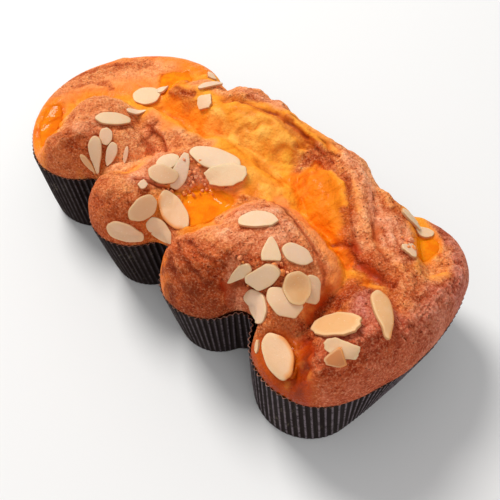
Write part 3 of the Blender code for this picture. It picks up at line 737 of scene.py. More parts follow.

# %% [markdown]
# A crack has a sharp bottom and a low bank on both sides.  A dimple is a soft hollow.
# Everything is pushed out along the surface's normal, and fades out at the rim.

# %% Cracks and dimples
# How near each crack lies; the dough material paints shade there as a dark colour.
cracked = np.zeros(X.shape)
patchy = np.clip(0.6 + 0.7 * octaves(surface, 4 * MM, 2, 23), 0, 1)
for depth, width, points in CRACKS:
    off = distance_to_line(points, *crack_places) / (width * MM)
    lift -= depth * patchy * np.exp(-off ** 2)
    lift += BANK_SHARE * depth * np.exp(-(off - BANK_OFF) ** 2)
    cracked = np.maximum(cracked, patchy * np.exp(-off ** 2))
dimple_places = fray(surface, 2.0 * MM, 25)
for depth, width, points in DIMPLES:
    off = distance_to_line(points, *dimple_places) / (width * MM)
    lift -= depth * np.exp(-off ** 2)
# The depth of each hollow; the dough material paints shade there.
creased = np.clip(-lift, 0, 1)
lift *= MM * smooth(0, 3 * MM, inset)
shore = fray(surface, 0.8 * MM, 31)
surface = surface + normal * lift[..., None]
print("relief from", lift.min() / MM, "to", lift.max() / MM, "mm")

# %% [markdown]
# Under each patch of jam the crust is hollowed, so that the jam lies in it like a pool
# with its own edge.  Jam stains the dough round it, a dark line of painted shade runs round
# each almond, and each bump gets painted light, a little paler and less red, and each crease
# painted shade, a little darker.

# %% Hollows, stains and shades
JAM_HOLLOW, JAM_SHORE = 2.4 * MM, 2.2 * MM
# How much paler a bump is painted, as painted light, and darker a crease, as painted
# shade, in red, green and blue.
MOIST_PAINTED_LIGHT, DRY_PAINTED_LIGHT = (0.04, 0.18, 0.45), (0.10, 0.30, 0.50)
MOIST_PAINTED_SHADE, DRY_PAINTED_SHADE = (0.02, 0.16, 0.40), (0.14, 0.28, 0.38)

jam_depth = np.max([depth_in(o, *shore) for o in JAM_PATCHES.values()], axis=0)
surface[..., 2] -= JAM_HOLLOW * smooth(-0.3 * MM, JAM_SHORE, jam_depth)
lay("jam", 0.9, smooth(-2.0 * MM, 0.5 * MM, jam_depth))
front_depth = depth_in(JAM_PATCHES["apricot_jam_front"], *shore)
lay("syrup", 0.9, smooth(-3.5 * MM, 0, front_depth))
for x, y, length, width, turn, *_ in FLAKES:
    along, aside = turned(surface[..., 0] - x * MM, surface[..., 1] - y * MM, turn)
    reach = np.hypot(along / (length / 2 + 0.5), aside / (width / 2 + 0.5)) / MM
    lay("rust", 0.40, (1 - smooth(0.95, 1.08, reach)) * dry)
# Painted light on the bumps and painted shade in the creases, by the relief's height.
high = smooth(0.0, 0.7, lift / MM)[..., None]
low = smooth(0.0, 0.7, -lift / MM)[..., None]
moist = (1 - dry)[..., None]
tint *= 1 + high * (MOIST_PAINTED_LIGHT * moist + DRY_PAINTED_LIGHT * (1 - moist))
tint *= 1 - low * (MOIST_PAINTED_SHADE * moist + DRY_PAINTED_SHADE * (1 - moist))
print("mean tint", tint.mean(axis=(0, 1)))

# %% [markdown]
# Dough that rises past the rim leans over it, and hides most of it.  At a few places on
# the left flanks of the lobes it has shrunk away instead and left a dark gap.  Both are
# one push of the crust's border along the outline's normal, which fades out inwards.

# %% The lip over the rim
LIP, LIP_REACH, LIP_DROP = 1.5 * MM, 5.0 * MM, 0.6 * MM
# x, y, radius, how far the dough draws back there from where the lip would be.
SHRUNK = [(-38, -37, 6, 2.6), (4, -38, 6, 2.6), (46, -36, 7, 3.0),
          (92, -4, 34, -0.3), (-98, 4, 30, -0.2)]


def lip_along(side):
    """How far the border leans out at each place of a side: even, uneven, less the gaps."""
    place = np.column_stack([side, np.zeros(len(side))])
    lean = LIP * (1 + 0.25 * octaves(place, 9 * MM, 2, 71))
    for x, y, radius, back in SHRUNK:
        off = np.hypot(side[:, 0] - x * MM, side[:, 1] - y * MM) / (radius * MM)
        lean -= back * MM * np.exp(-off ** 2)
    return lean


near_lean, far_lean = lip_along(near_side), lip_along(far_side)
outward = between(near_out, far_out, share)
lean = near_lean[:, None] * (1 - share) + far_lean[:, None] * share
fade = (1 - np.clip(inset / LIP_REACH, 0, 1)) ** 2
surface[..., :2] += outward * (lean * fade)[..., None]
surface[..., 2] -= LIP_DROP * fade ** 4 * np.clip(lean / LIP, 0, 1)
print("lip from", near_lean.min() / MM, "to", near_lean.max() / MM, "mm")

# %% [markdown]
# ## From arrays to pieces
#
# Every new piece is made by the same helper.  It moves the points from the case's middle
# to the part's frame, shades them smooth, and stores values for the materials as
# attributes on the points.

# %% The mesh helper
def make_piece(name, points, faces, **attributes):
    """A smooth mesh piece riding on the loaf, with values stored on its points."""
    mesh = bpy.data.meshes.new(name)
    points = np.asarray(points, float).reshape(-1, 3) + (CENTRE_SHIFT, 0, 0)
    mesh.from_pydata(points.tolist(), [], faces)
    mesh.polygons.foreach_set("use_smooth", np.ones(len(mesh.polygons), bool))
    for key, values in attributes.items():
        values = np.asarray(values, np.float32)
        if values.ndim == 2:
            layer = mesh.attributes.new(key, "FLOAT_COLOR", "POINT")
            values = np.column_stack([values, np.ones(len(values))])
            layer.data.foreach_set("color", values.ravel())
        else:
            mesh.attributes.new(key, "FLOAT", "POINT").data.foreach_set("value", values)
    mesh.update()
    piece = bpy.data.objects.new(name, mesh)
    bpy.context.scene.collection.objects.link(piece)
    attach(piece, "root")
    print(name, len(mesh.vertices), "points,", sum(len(f) - 2 for f in faces), "triangles")
    return piece


def grid_faces(rows, columns, around=False, start=0):
    """Quads of a grid of points, closed along its second way if around."""
    k, m = np.meshgrid(np.arange(rows - 1), np.arange(columns - (not around)), indexing="ij")
    k, m = k.ravel(), m.ravel()
    ahead = (m + 1) % columns
    ring, above = k * columns, (k + 1) * columns
    return (np.stack([ring + m, above + m, above + ahead, ring + ahead], axis=1) + start).tolist()


# %% [markdown]
# The loaf closes below the crust with a wall inside the paper and a flat base, as the
# real loaf does.  At the two ends all rows meet in one point, so the points there are
# merged.

# %% The loaf
WALL_HEIGHTS = np.array([34.6, 30.0, 20.0, 10.0]) * MM
SIDE_SHADE = 0.6


def merge_points(piece, within=1e-6):
    """Make points that coincide one, and face everything outwards."""
    work = bmesh.new()
    work.from_mesh(piece.data)
    bmesh.ops.remove_doubles(work, verts=work.verts, dist=within)
    bmesh.ops.recalc_face_normals(work, faces=work.faces)
    work.to_mesh(piece.data)
    work.free()


def build_loaf():
    """The crust's grid, rings of wall below it and a base."""
    columns, rows = X.shape
    surface[[0, -1]] = surface[[0, -1]][:, :1]
    points = [surface.reshape(-1, 3)]
    faces = grid_faces(columns, rows)
    rings = [[k * rows for k in range(columns - 1)]
             + [k * rows + rows - 1 for k in range(columns - 1, 0, -1)]]
    count = columns * rows
    drawn = np.clip(-near_lean, 0, None)
    for height in [*WALL_HEIGHTS, LOAF_FLOOR]:
        back = LOAF_INSET + drawn * height / RIM_HEIGHT
        ring = whole_ring(wall_line(height, COLUMNS, back))
        points.append(np.column_stack([ring, np.full(len(ring), height)]))
        rings.append(list(range(count, count + len(ring))))
        one, two = rings[-2:]
        faces += [(one[k], one[k - 1], two[k - 1], two[k]) for k in range(len(ring))]
        count += len(ring)
    faces.append(rings[-1])
    below = np.ones(count - columns * rows)
    side_tint = below[:, None] * np.array(TONES["rust"]) * SIDE_SHADE
    piece = make_piece("baked_crust", np.concatenate(points), faces,
                       tint=np.concatenate([tint.reshape(-1, 3), side_tint]),
                       browning=np.concatenate([browning.ravel(), below]),
                       wet=np.concatenate([wetness.ravel(), 0 * below]),
                       creased=np.concatenate([creased.ravel(), 0 * below]),
                       cracked=np.concatenate([cracked.ravel(), 0 * below]))
    merge_points(piece)
    return piece


loaf = build_loaf()
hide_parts("braid")

# %% [markdown]
# ## The paper case
#
# Baking cases are pressed from thin greaseproof paper, and the wall is gathered into
# narrow pleats so that a flat sheet can stand up round a curve.  The wall here is a wave
# of about 260 pleats: outline plus a cosine, mixed from the base line to the rim line.
# The pleats flatten towards the base, where the sheet turns under.

# %% The case
FLUTE_PITCH, FLUTE_DEPTH = 2.25 * MM, 0.5 * MM
FLUTE_STEPS = 8
# Share of the depth that a pleat swings, how flat it is at the base, and where it is full.
FLUTE_SWING, FLUTE_FLAT, FLUTE_FULL = 0.72, 0.15, 0.35
CASE_LEVELS = np.array([0, 0.01, 0.03, 0.06, 0.12, 0.25, 0.4, 0.55, 0.7, 0.85, 0.97, 1.0])
PAPER_SHEET = 0.25 * MM
BASE_ROUND = 1.6 * MM


def build_case():
    """Rings at rising heights outside, over the rim, and down inside to the floor, each
    the wall's line moved out by depth * cos(2 pi t) at the pleat number t."""
    pleats = [max(1, round(radius * abs(last - first) / FLUTE_PITCH))
              for _, _, radius, first, last, _ in RIM_CHAIN]
    counts = [FLUTE_STEPS * count for count in pleats]
    phase = np.arange(sum(counts) + 1) / FLUTE_STEPS
    uneven = 1 + 0.35 * np.sin(phase * 0.9 + 1.0) * np.sin(phase * 0.23)
    wave = np.cos(2 * np.pi * phase)
    heights = CASE_LEVELS * RIM_HEIGHT
    levels = [(height, 0.0) for height in heights]
    levels += [(max(height, PAPER_SHEET), PAPER_SHEET) for height in heights[::-1]]
    points, crests, ups = [], [], []
    for height, sheet in levels:
        up = height / RIM_HEIGHT
        pleated = FLUTE_FLAT + (1 - FLUTE_FLAT) * smooth(0, FLUTE_FULL, up)
        depth = FLUTE_DEPTH * uneven * FLUTE_SWING * pleated
        tucked = BASE_ROUND * (1 - np.sqrt(1 - np.clip(1 - height / BASE_ROUND, 0, 1) ** 2))
        ring = whole_ring(wall_line(height, counts, sheet + 0.5 * tucked - depth * wave))
        points.append(np.column_stack([ring, np.full(len(ring), height)]))
        crests.append(np.concatenate([wave[:-1], wave[:0:-1]]))
        ups.append(np.full(len(ring), up))
    size = len(points[0])
    faces = grid_faces(len(levels), size, around=True)
    last = (len(levels) - 1) * size
    faces.append(list(range(size)))
    faces.append(list(range(last, last + size)))
    piece = make_piece("pleated_case", np.concatenate(points), faces,
                       crest=np.concatenate(crests), up=np.concatenate(ups))
    merge_points(piece)
    return piece


case = build_case()
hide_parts("paper_case")

# %% [markdown]
# ## Jam
#
# The jam was spooned on and has set with a smooth skin.  Each patch follows the crust
# just below its level, is a little fuller in its middle, and dives under the crust at
# its border, where the frayed hollow decides the shoreline.

# %% The patches of jam
JAM_LEVEL, JAM_CROWN, JAM_RIPPLE = 0.30 * MM, 0.35 * MM, 0.22 * MM
JAM_RINGS, JAM_STEPS = 26, 96
# How far a patch reaches under the crust, the share of its radius, and how deep.
JAM_REACH, JAM_DIVE, JAM_BELOW = 1.16, 2.2 * MM, 2.0 * MM
# How far a patch is boiled down and darkened.
DEEP_JAM = {"apricot_jam_front": 0.9, "apricot_jam_far_left": 0.2}


def soft_ring(outline, steps):
    """A smooth closed line along an outline: the sum of w_j(u) p_(k + j) / 6 over four
    neighbouring points p, with the weights w_j of a cubic B-spline."""
    outline = np.array(outline, float) * MM
    count = len(outline)
    t = np.arange(steps) / steps * count
    k = np.floor(t).astype(int)
    u = (t - k)[:, None]
    weights = [(1 - u) ** 3, 3 * u ** 3 - 6 * u ** 2 + 4,
               -3 * u ** 3 + 3 * u ** 2 + 3 * u + 1, u ** 3]
    return sum(w * outline[(k + j - 1) % count] for j, w in enumerate(weights)) / 6


def build_jam(name, outline, seed):
    """A lid that follows the crust at radius share r: crust - level + crown (1 - r^2),
    diving by the square of what r exceeds one, over a floor below."""
    ring = soft_ring(outline, JAM_STEPS)
    middle = ring.mean(axis=0)
    radius = np.linspace(0, JAM_REACH, JAM_RINGS)[:, None, None]
    spots = middle + (ring - middle) * radius
    height = crust_height(spots[..., 0], spots[..., 1])
    radius = radius[..., 0] * np.ones(JAM_STEPS)
    place = np.stack([spots[..., 0], spots[..., 1], height], axis=-1)
    ripple = JAM_RIPPLE * octaves(place, 5 * MM, 2, seed)
    over = np.clip(radius - 1, 0, None) / (JAM_REACH - 1)
    crown = JAM_CROWN * (1 - np.clip(radius, 0, 1) ** 2)
    top = height - JAM_LEVEL + crown + ripple - JAM_DIVE * over ** 2
    lid = np.stack([spots[..., 0], spots[..., 1], top], axis=-1)
    floor = lid[-1] * (1, 1, 0) + (0, 0, lid[-1, :, 2].min() - JAM_BELOW)
    points = np.concatenate([lid.reshape(-1, 3), floor])
    faces = grid_faces(JAM_RINGS + 1, JAM_STEPS, around=True)
    faces.append(list(range(JAM_RINGS * JAM_STEPS, (JAM_RINGS + 1) * JAM_STEPS)))
    piece = make_piece(name + "_pool", points, faces,
                       shore=np.concatenate([radius.ravel(), np.full(JAM_STEPS, 1.2)]),
                      deep=np.full(len(points), DEEP_JAM.get(name, 0.0)))
    merge_points(piece)
    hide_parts(name)
    return piece


jams = [build_jam(*patch, 60 + k) for k, patch in enumerate(JAM_PATCHES.items())]

# %% [markdown]
# ## Almond flakes
#
# A flake is a slice about a millimetre thick.  Its section is a rounded plate, its
# outline an oval drawn in towards one end, and broken ones are cut off straight.  It
# lies in the plane of the crust under it and bends a little the way the crust bulges.

# %% The flakes
FLAKE_STEPS = 48
# How far out along itself a flake feels for the crust's slope, and how high it rests.
FLAKE_FEELER, FLAKE_REST = 0.4, 0.1 * MM
# Share of the radius and of the thickness, from the top's middle round to the underside's.
FLAKE_SECTION = np.array([(0, 1), (0.4, 1), (0.75, 1), (0.93, 0.99), (0.985, 0.93),
                          (1, 0.78), (1, 0.3), (0.98, 0), (0, 0)])
BORDER_RING = 5
PICK_STEP = 0.618
# Flakes with a straight break or more: the direction it faces and how far out it lies.
BREAKS = {
    1: [(0, 0.6)], 2: [(0, 0.7), (180, 0.75), (100, 0.8)], 4: [(40, 0.7), (200, 0.6)],
    13: [(200, 0.85), (-100, 0.85)], 14: [(60, 0.85)], 16: [(180, 0.9), (-70, 0.75)],
    17: [(0, 0.6), (180, 0.6), (-60, 0.7)], 20: [(40, 0.8)],
    22: [(25, 0.9), (-25, 0.92)], 23: [(180, 0.62)],
    24: [(30, 0.72), (-35, 0.75)], 25: [(-80, 0.55), (30, 0.9)], 26: [(70, 0.7)],
    28: [(90, 0.75), (0, 0.8)], 30: [(0, 0.82), (-50, 0.85)], 31: [(15, 0.85)],
    33: [(0, 0.75), (80, 0.8)], 34: [(180, 0.6), (45, 0.75), (-50, 0.7)],
    37: [(0, 0.7), (120, 0.7), (-120, 0.8)], 39: [(180, 0.9), (0, 0.9)],
}
JAGGED = {2, 4, 13, 17, 31, 33, 37}
# Flakes that keep a strip of brown skin at their border, and the side it is on.
SKINS = {10: 32, 32: 90, 34: 172, 35: 67, 19: -80}


def flake_outline(number, point, broken, angle):
    """Shares of half length and half width: an oval drawn in towards one end, cut by
    each break at offset / cos(angle - direction), its border a little ragged."""
    along = np.cos(angle)
    side = np.sin(angle) * (1 - abs(point) * (1 + np.sign(point) * along) / 2)
    along = np.minimum(along, broken)
    radius = np.hypot(along, side)
    heading = np.arctan2(side, along)
    rough = 0.030 * np.sin(3 * angle + number) + 0.018 * np.sin(7 * angle + 2.3 * number)
    radius = radius * (1 + rough)
    for direction, offset in BREAKS.get(number, []):
        facing = np.cos(heading - np.radians(direction))
        cut = offset / np.clip(facing, 0.05, 1)
        radius = np.where(facing > 0.05, np.minimum(radius, cut), radius)
    if number in JAGGED:
        radius = radius * (1 - 0.07 * np.abs(np.sin(5.5 * angle + number)) ** 0.5)
    return radius * np.cos(heading), radius * np.sin(heading)


def build_flakes():
    """All flakes as one mesh of rounded plates.  Each stores its toasting, the share of
    its radius, a number to pick its colour by, and where it has skin."""
    points, faces = [], []
    stored = {"toast": [], "rim": [], "pick": [], "skin": []}
    angle = 2 * np.pi * np.arange(FLAKE_STEPS) / FLAKE_STEPS
    for number, (x, y, length, width, turn, point, broken, lifted, toasted) in enumerate(FLAKES):
        x, y, length, width, lifted = np.array([x, y, length, width, lifted]) * MM
        reach = FLAKE_FEELER * length
        beside = crust_height(x + reach * np.array([1, -1, 0, 0, 0]),
                              y + reach * np.array([0, 0, 1, -1, 0]))
        up = np.array([beside[1] - beside[0], beside[3] - beside[2], 2 * reach])
        up /= np.linalg.norm(up)
        way = np.array([np.cos(np.radians(turn)), np.sin(np.radians(turn)), 0.0])
        way[2] = -(way @ up) / up[2]
        way /= np.linalg.norm(way)
        across = np.cross(up, way)
        along, side = flake_outline(number, point, broken, angle)
        shares = FLAKE_SECTION[:, :1]
        flat = (np.array([x, y, beside[4]])
                + way * (shares * along)[..., None] * length / 2
                + across * (shares * side)[..., None] * width / 2)
        bulge = (crust_height(flat[..., 0], flat[..., 1]) - flat[..., 2]) * up[2]
        bulge = np.clip(bulge, -FLAKE_BEND, FLAKE_BEND) * FLAKE_GIVE
        bulge = bulge + abs(bulge[BORDER_RING].mean()) * (1 - FLAKE_GIVE) + lifted
        sink = FLAKE_SINK * (1 - FLAKE_SECTION[:, 1:]) - FLAKE_REST
        plate = flat + up * (bulge - sink + FLAKE_SECTION[:, 1:] * FLAKE_PLATE)[..., None]
        faces += grid_faces(len(plate), FLAKE_STEPS, True, sum(map(len, points)))
        points.append(plate.reshape(-1, 3))
        each = np.ones((len(shares), FLAKE_STEPS))
        facing = np.cos(angle - np.radians(SKINS.get(number, 0))) * (number in SKINS)
        stored["toast"].append((each * toasted).ravel())
        stored["pick"].append((each * (number * PICK_STEP % 1)).ravel())
        stored["rim"].append((each * shares).ravel())
        stored["skin"].append((smooth(0.80, 0.90, shares) * smooth(0.0, 0.4, facing)).ravel())
    stored = {key: np.concatenate(values) for key, values in stored.items()}
    piece = make_piece("almond_flakes", np.concatenate(points), faces, **stored)
    merge_points(piece)
    return piece


flakes = build_flakes()
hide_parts("braid")

# %% [markdown]
# ## Crumbs
#
# Where the crust has torn, crumbs of dough lie loose.  Each is a ball with a bumpy
# radius, and all of them are one mesh.

# %% The crumbs
# Middle x, y, spread, how many.
CRUMB_PLACES = [(-8, -12, 3.0, 34), (-11, -22, 2.2, 14), (-14, -9, 2.0, 8),
                (40, -31, 2.2, 12), (46, -24, 2.5, 16), (52, -19, 2.0, 8), (66, 20, 2.0, 10)]
CRUMB_SIZES, CRUMB_SHRINK, CRUMB_SQUASH = (0.5 * MM, 1.3 * MM), (0.6, 1.0), (0.6, 1.2)
CRUMB_ROUGHNESS, CRUMB_GRAIN = 0.55, 0.8
CRUMB_ROWS, CRUMB_STEPS = 7, 10


def build_crumbs():
    """Balls of radius r (1 + noise), scattered by a seeded draw about each place."""
    draw = np.random.default_rng(5)
    tilt = np.linspace(0, np.pi, CRUMB_ROWS)[:, None]
    turn = 2 * np.pi * np.arange(CRUMB_STEPS) / CRUMB_STEPS
    ball = np.stack([np.sin(tilt) * np.cos(turn), np.sin(tilt) * np.sin(turn),
                     np.cos(tilt) * np.ones(CRUMB_STEPS)], axis=-1)
    points, faces, shades = [], [], []
    for x, y, spread, count in CRUMB_PLACES:
        for place in draw.normal((x, y), spread, (count, 2)) * MM:
            size = draw.uniform(*CRUMB_SIZES) * draw.uniform(*CRUMB_SHRINK)
            middle = np.array([*place, crust_height(*place[:, None])[0] + 0.5 * size])
            grain = octaves(ball + draw.uniform(0, 50, 3), CRUMB_GRAIN, 2, 81)
            rough = 1 + CRUMB_ROUGHNESS * grain
            squash = draw.uniform(*CRUMB_SQUASH, 3)
            faces += grid_faces(CRUMB_ROWS, CRUMB_STEPS, True, sum(map(len, points)))
            points.append((middle + ball * rough[..., None] * size * squash).reshape(-1, 3))
            shades.append(np.full(len(points[-1]), draw.uniform(0, 1)))
    mix = np.concatenate(shades)[:, None]
    colours = np.array(TONES["blush"]) * mix + np.array(TONES["peach"]) * (1 - mix)
    none = np.zeros(len(mix))
    piece = make_piece("crumbs", np.concatenate(points), faces, tint=colours,
                       browning=none + 0.5, wet=none, creased=none, cracked=none)
    merge_points(piece)
    return piece


crumbs = build_crumbs()

# %% [markdown]
# ## A small language for materials
#
# A material is a graph of nodes.  Wrapping a socket in a class with arithmetic lets the
# graph be written as formulas, and one method makes every other kind of node.

# %% Sockets with arithmetic
def both_ways(operation):
    """An operator, and its reflected form for a number that stands on the left."""
    return (lambda self, other: self.math(operation, self, other),
            lambda self, other: self.math(operation, other, self))


class Wire:
    """An output socket that adds Math nodes when it is used in an expression."""

    __add__, __radd__ = both_ways("ADD")
    __sub__, __rsub__ = both_ways("SUBTRACT")
    __mul__, __rmul__ = both_ways("MULTIPLY")
    __pow__, __rpow__ = both_ways("POWER")

    def __init__(self, paint, socket):
        self.paint, self.socket = paint, socket

    def math(self, operation, *values):
        """A Math node of these values."""
        node = self.paint.tree.nodes.new("ShaderNodeMath")
        node.operation = operation
        for slot, value in zip(node.inputs, values):
            self.paint.join(value, slot)
        return Wire(self.paint, node.outputs[0])

    def ramp(self, low, high):
        """0 below low, 1 above high, smooth between."""
        return self.paint.node("MapRange", "Result", dict(interpolation_type="SMOOTHSTEP"),
                               Value=self, From_Min=low, From_Max=high)


class Paint:
    """A material with one Principled shader."""

    def __init__(self, name, **constants):
        self.material = bpy.data.materials.new(name)
        self.material.use_nodes = True
        self.tree = self.material.node_tree
        self.shader = self.tree.nodes["Principled BSDF"]
        for key, value in constants.items():
            self.shader.inputs[key.replace("_", " ")].default_value = value
        self.place = self.node("TexCoord", "Object")

    def join(self, value, slot):
        """Link a wire to an input, or set the input to a number or a colour."""
        if isinstance(value, Wire):
            self.tree.links.new(value.socket, slot)
        elif hasattr(slot.default_value, "__len__") and np.ndim(value) == 1:
            slot.default_value = (*value, 1.0)[:len(slot.default_value)]
        else:
            slot.default_value = value

    def node(self, kind, output, settings=None, **values):
        """Any node: its type, the output that is wanted, settings, and inputs."""
        node = self.tree.nodes.new("ShaderNode" + kind)
        for key, value in (settings or {}).items():
            setattr(node, key, value)
        for key, value in values.items():
            slot = next(s for s in node.inputs if s.enabled and s.name == key.replace("_", " "))
            self.join(value, slot)
        return Wire(self, next(s for s in node.outputs if s.enabled and s.name == output))

    def value(self, name):
        """A number stored on the points."""
        return self.node("Attribute", "Fac", dict(attribute_name=name))

    def colour(self, name):
        """A colour stored on the points."""
        return self.node("Attribute", "Color", dict(attribute_name=name))

    def mix(self, factor, one, two, way="MIX"):
        """Two colours mixed."""
        node = self.tree.nodes.new("ShaderNodeMix")
        node.data_type, node.blend_type = "RGBA", way
        self.join(factor, node.inputs[0])
        self.join(one, node.inputs[6])
        self.join(two, node.inputs[7])
        return Wire(self, node.outputs[2])

    def noise(self, size, detail=3.0, rough=0.5):
        """Fractal noise with features of about this size."""
        return self.node("TexNoise", "Fac", Vector=self.place, Scale=1 / size,
                         Detail=detail, Roughness=rough)

    def cells(self, size, feature="F1"):
        """Distance to the nearest of random points about this far apart."""
        return self.node("TexVoronoi", "Distance", dict(feature=feature), Vector=self.place,
                         Scale=1 / size)

    def bump(self, height, depth):
        """A normal from a height that goes from 0 to 1."""
        return self.node("Bump", "Normal", Height=height, Distance=depth, Strength=1.0)

    def finish(self, piece, **inputs):
        """Join what varies to the shader, and give the material to a piece."""
        for key, value in inputs.items():
            self.join(value, self.shader.inputs[key.replace("_", " ")])
        piece.data.materials.clear()
        piece.data.materials.append(self.material)


# %% [markdown]
# ## Baked dough
#
# Browned crust is dry, matt and full of pores where gas broke through; golden dough is
# smooth and moist with a faint gloss.  The browning on the points steers both.

# %% The dough's material
# The speck tan is a painted highlight on the grain; the pore and crack browns are painted shade.
GRAIN_PAINTED_HIGHLIGHT, WARM_GOLD = (0.95, 0.50, 0.28), (0.98, 0.42, 0.08)
PORE_PAINTED_SHADE, CRACK_PAINTED_SHADE = (0.22, 0.040, 0.014), (0.22, 0.028, 0.006)


def dough_material(*wearers):
    """Tint, mottled and pored by how far the crust is browned, with painted shade in the
    creases, cracks, pores and low relief, and painted highlights on the grain.
    """
    dough = Paint("baked_dough_crust", Subsurface_Weight=0.08, Subsurface_Scale=0.002,
                  Subsurface_Radius=(1.0, 0.35, 0.12), Specular_IOR_Level=0.08,
                  Coat_Roughness=0.12)
    brown = dough.value("browning").ramp(0.15, 0.75)
    wet = dough.value("wet")
    blotch = dough.noise(6.0 * MM, 3.0, 0.55)
    coarse = dough.noise(2.4 * MM, 4.0, 0.6)
    fine = dough.noise(0.7 * MM, 3.0, 0.65)
    bumps = 1 - dough.cells(1.35 * MM, feature="SMOOTH_F1").ramp(0.10, 0.75)
    grain = 1 - dough.cells(0.62 * MM).ramp(0.1, 0.8)
    pores = 1 - dough.cells(1.7 * MM).ramp(0.08, 0.24)
    pores = pores * coarse.ramp(0.46, 0.60) * brown
    speck = dough.noise(0.80 * MM, 3.0, 0.55).ramp(0.38, 0.62)
    relief = bumps * 0.45 + grain * 0.25 + fine * 0.5
    # The shade factor is partly the crust's own mottling and partly painted shade: low relief is
    # darkened, and the darks turn redder.
    shade = 1.08 + brown * ((speck - 0.5) * 0.36 + (relief - 0.5) * 0.45 + (coarse - 0.5) * 1.2
                            + (blotch - 0.5) * 0.8)
    shade = shade + (1 - brown) * ((blotch - 0.5) * 0.30 + (fine - 0.5) * 0.35)
    # Painted shade in the creases.
    shade = shade - dough.value("creased").ramp(0.1, 0.9) * 0.26
    redder = dough.node("CombineColor", "Color", Red=shade ** 0.7, Green=shade ** 1.35,
                        Blue=shade ** 1.7)
    colour = dough.mix(1.0, dough.colour("tint"), redder, "MULTIPLY")
    # Painted highlights on the lighter specks of the grain.
    colour = dough.mix(speck * fine.ramp(0.48, 0.60) * brown * 0.30, colour, GRAIN_PAINTED_HIGHLIGHT)
    # Painted shade in the pores.
    colour = dough.mix(pores * 0.6, colour, PORE_PAINTED_SHADE)
    # Painted shade in the cracks.
    colour = dough.mix(dough.value("cracked").ramp(0.2, 0.9) * 0.7, colour, CRACK_PAINTED_SHADE)
    colour = dough.mix(blotch.ramp(0.58, 0.75) * (1 - brown) * 0.25, colour, WARM_GOLD)
    height = relief * (0.25 + brown * 0.45) + speck * brown * 0.12 + coarse * 0.7 - pores * 0.8
    rough = 0.55 + brown * 0.25 - wet * 0.25 + fine * 0.1
    for wearer in wearers:
        dough.finish(wearer, Base_Color=colour, Roughness=rough, Coat_Weight=wet * 0.10,
                     Normal=dough.bump(height, 1.15 * MM))


dough_material(loaf, crumbs)

# %% [markdown]
# ## Paper, jam and almond
#
# The paper is nearly black, with painted highlights on its pleat crests that grow towards
# the broad end.  The jam is clear and bright with darker shores, and the almonds are ivory,
# darker the more they toast, with small painted glints.

# %% The other materials
PAPER_BLACK, PAPER_BROWN = (0.008, 0.004, 0.003), (0.020, 0.010, 0.008)
# The pale grey of the pleats is a painted highlight; the grease tan and the rim red are the
# paper's own.
PLEAT_PAINTED_HIGHLIGHT, GREASE_TAN, RIM_RED = (0.19, 0.150, 0.170), (0.20, 0.165, 0.105), (0.42, 0.20, 0.14)
JAM_ORANGE, JAM_BRIGHT, JAM_PULP = (0.88, 0.19, 0.002), (0.95, 0.27, 0.004), (0.98, 0.42, 0.03)
JAM_EDGE, JAM_BOILED = (0.74, 0.13, 0.002), (0.48, 0.070, 0.002)
# The palest speck colour is a painted glint on the almonds.
IVORY, ROSY_IVORY, PAINTED_GLINT = (0.84, 0.58, 0.35), (0.88, 0.61, 0.44), (0.95, 0.82, 0.66)
TOASTED, SCORCHED, SKIN_BROWN = (0.78, 0.40, 0.15), (0.66, 0.24, 0.08), (0.80, 0.27, 0.05)
FLAKE_EDGE, FLAKE_RIM = (0.86, 0.62, 0.34), (0.55, 0.26, 0.10)


def paper_material(piece):
    """Dark greaseproof paper with painted highlights on its pleat crests, stronger towards
    the broad end, and a paler cut rim.
    """
    paper = Paint("dark_baking_paper", Specular_IOR_Level=0.05)
    line = paper.value("crest").ramp(0.25, 0.95)
    smudge = paper.noise(7 * MM, 4.0, 0.65).ramp(0.50, 0.70)
    wear_and_sheen = paper.noise(1.6 * MM, 4.0, 0.7)
    fibre = paper.noise(0.5 * MM, 3.0, 0.6)
    along = paper.node("SeparateXYZ", "X", Vector=paper.place)
    # The painted pleat highlights grow towards the broad end, where the light falls.
    highlight_towards_broad_end = paper.noise(30 * MM, 2.0, 0.5) * 0.7 + along.ramp(10 * MM, 80 * MM) * 0.75 - 0.05
    rim = paper.value("up").ramp(0.990, 1.0) * wear_and_sheen.ramp(0.3, 0.6)
    colour = paper.mix(fibre, PAPER_BLACK, PAPER_BROWN)
    # Painted highlight along the pleat crests.
    colour = paper.mix(line * wear_and_sheen.ramp(0.30, 0.62) * highlight_towards_broad_end, colour, PLEAT_PAINTED_HIGHLIGHT)
    colour = paper.mix(smudge * wear_and_sheen.ramp(0.52, 0.70) * 0.7, colour, GREASE_TAN)
    colour = paper.mix(rim, colour, RIM_RED)
    paper.finish(piece, Base_Color=colour, Roughness=0.50 + fibre * 0.2,
                 Normal=paper.bump(fibre, 0.06 * MM))


def jam_material(*pools):
    """Glossy apricot jam with paler pulp, darker at its shores and where it is boiled."""
    jam = Paint("set_apricot_jam", Subsurface_Weight=0.3, Subsurface_Scale=0.003,
                Subsurface_Radius=(1.0, 0.35, 0.05), Specular_IOR_Level=0.0, Coat_Weight=0.20,
                Coat_Roughness=0.06)
    cloud = jam.noise(5 * MM, 3.0, 0.5)
    pulp = jam.noise(1.1 * MM, 3.0, 0.6)
    colour = jam.mix(cloud.ramp(0.35, 0.65), JAM_ORANGE, JAM_BRIGHT)
    colour = jam.mix(pulp.ramp(0.60, 0.80) * 0.4, colour, JAM_PULP)
    colour = jam.mix(jam.value("shore").ramp(0.80, 1.05) * 0.35, colour, JAM_EDGE)
    colour = jam.mix(jam.value("deep"), colour, JAM_BOILED)
    for pool in pools:
        jam.finish(pool, Base_Color=colour, Roughness=0.22 + pulp * 0.2,
                   Normal=jam.bump(pulp + cloud * 0.8, 0.35 * MM))


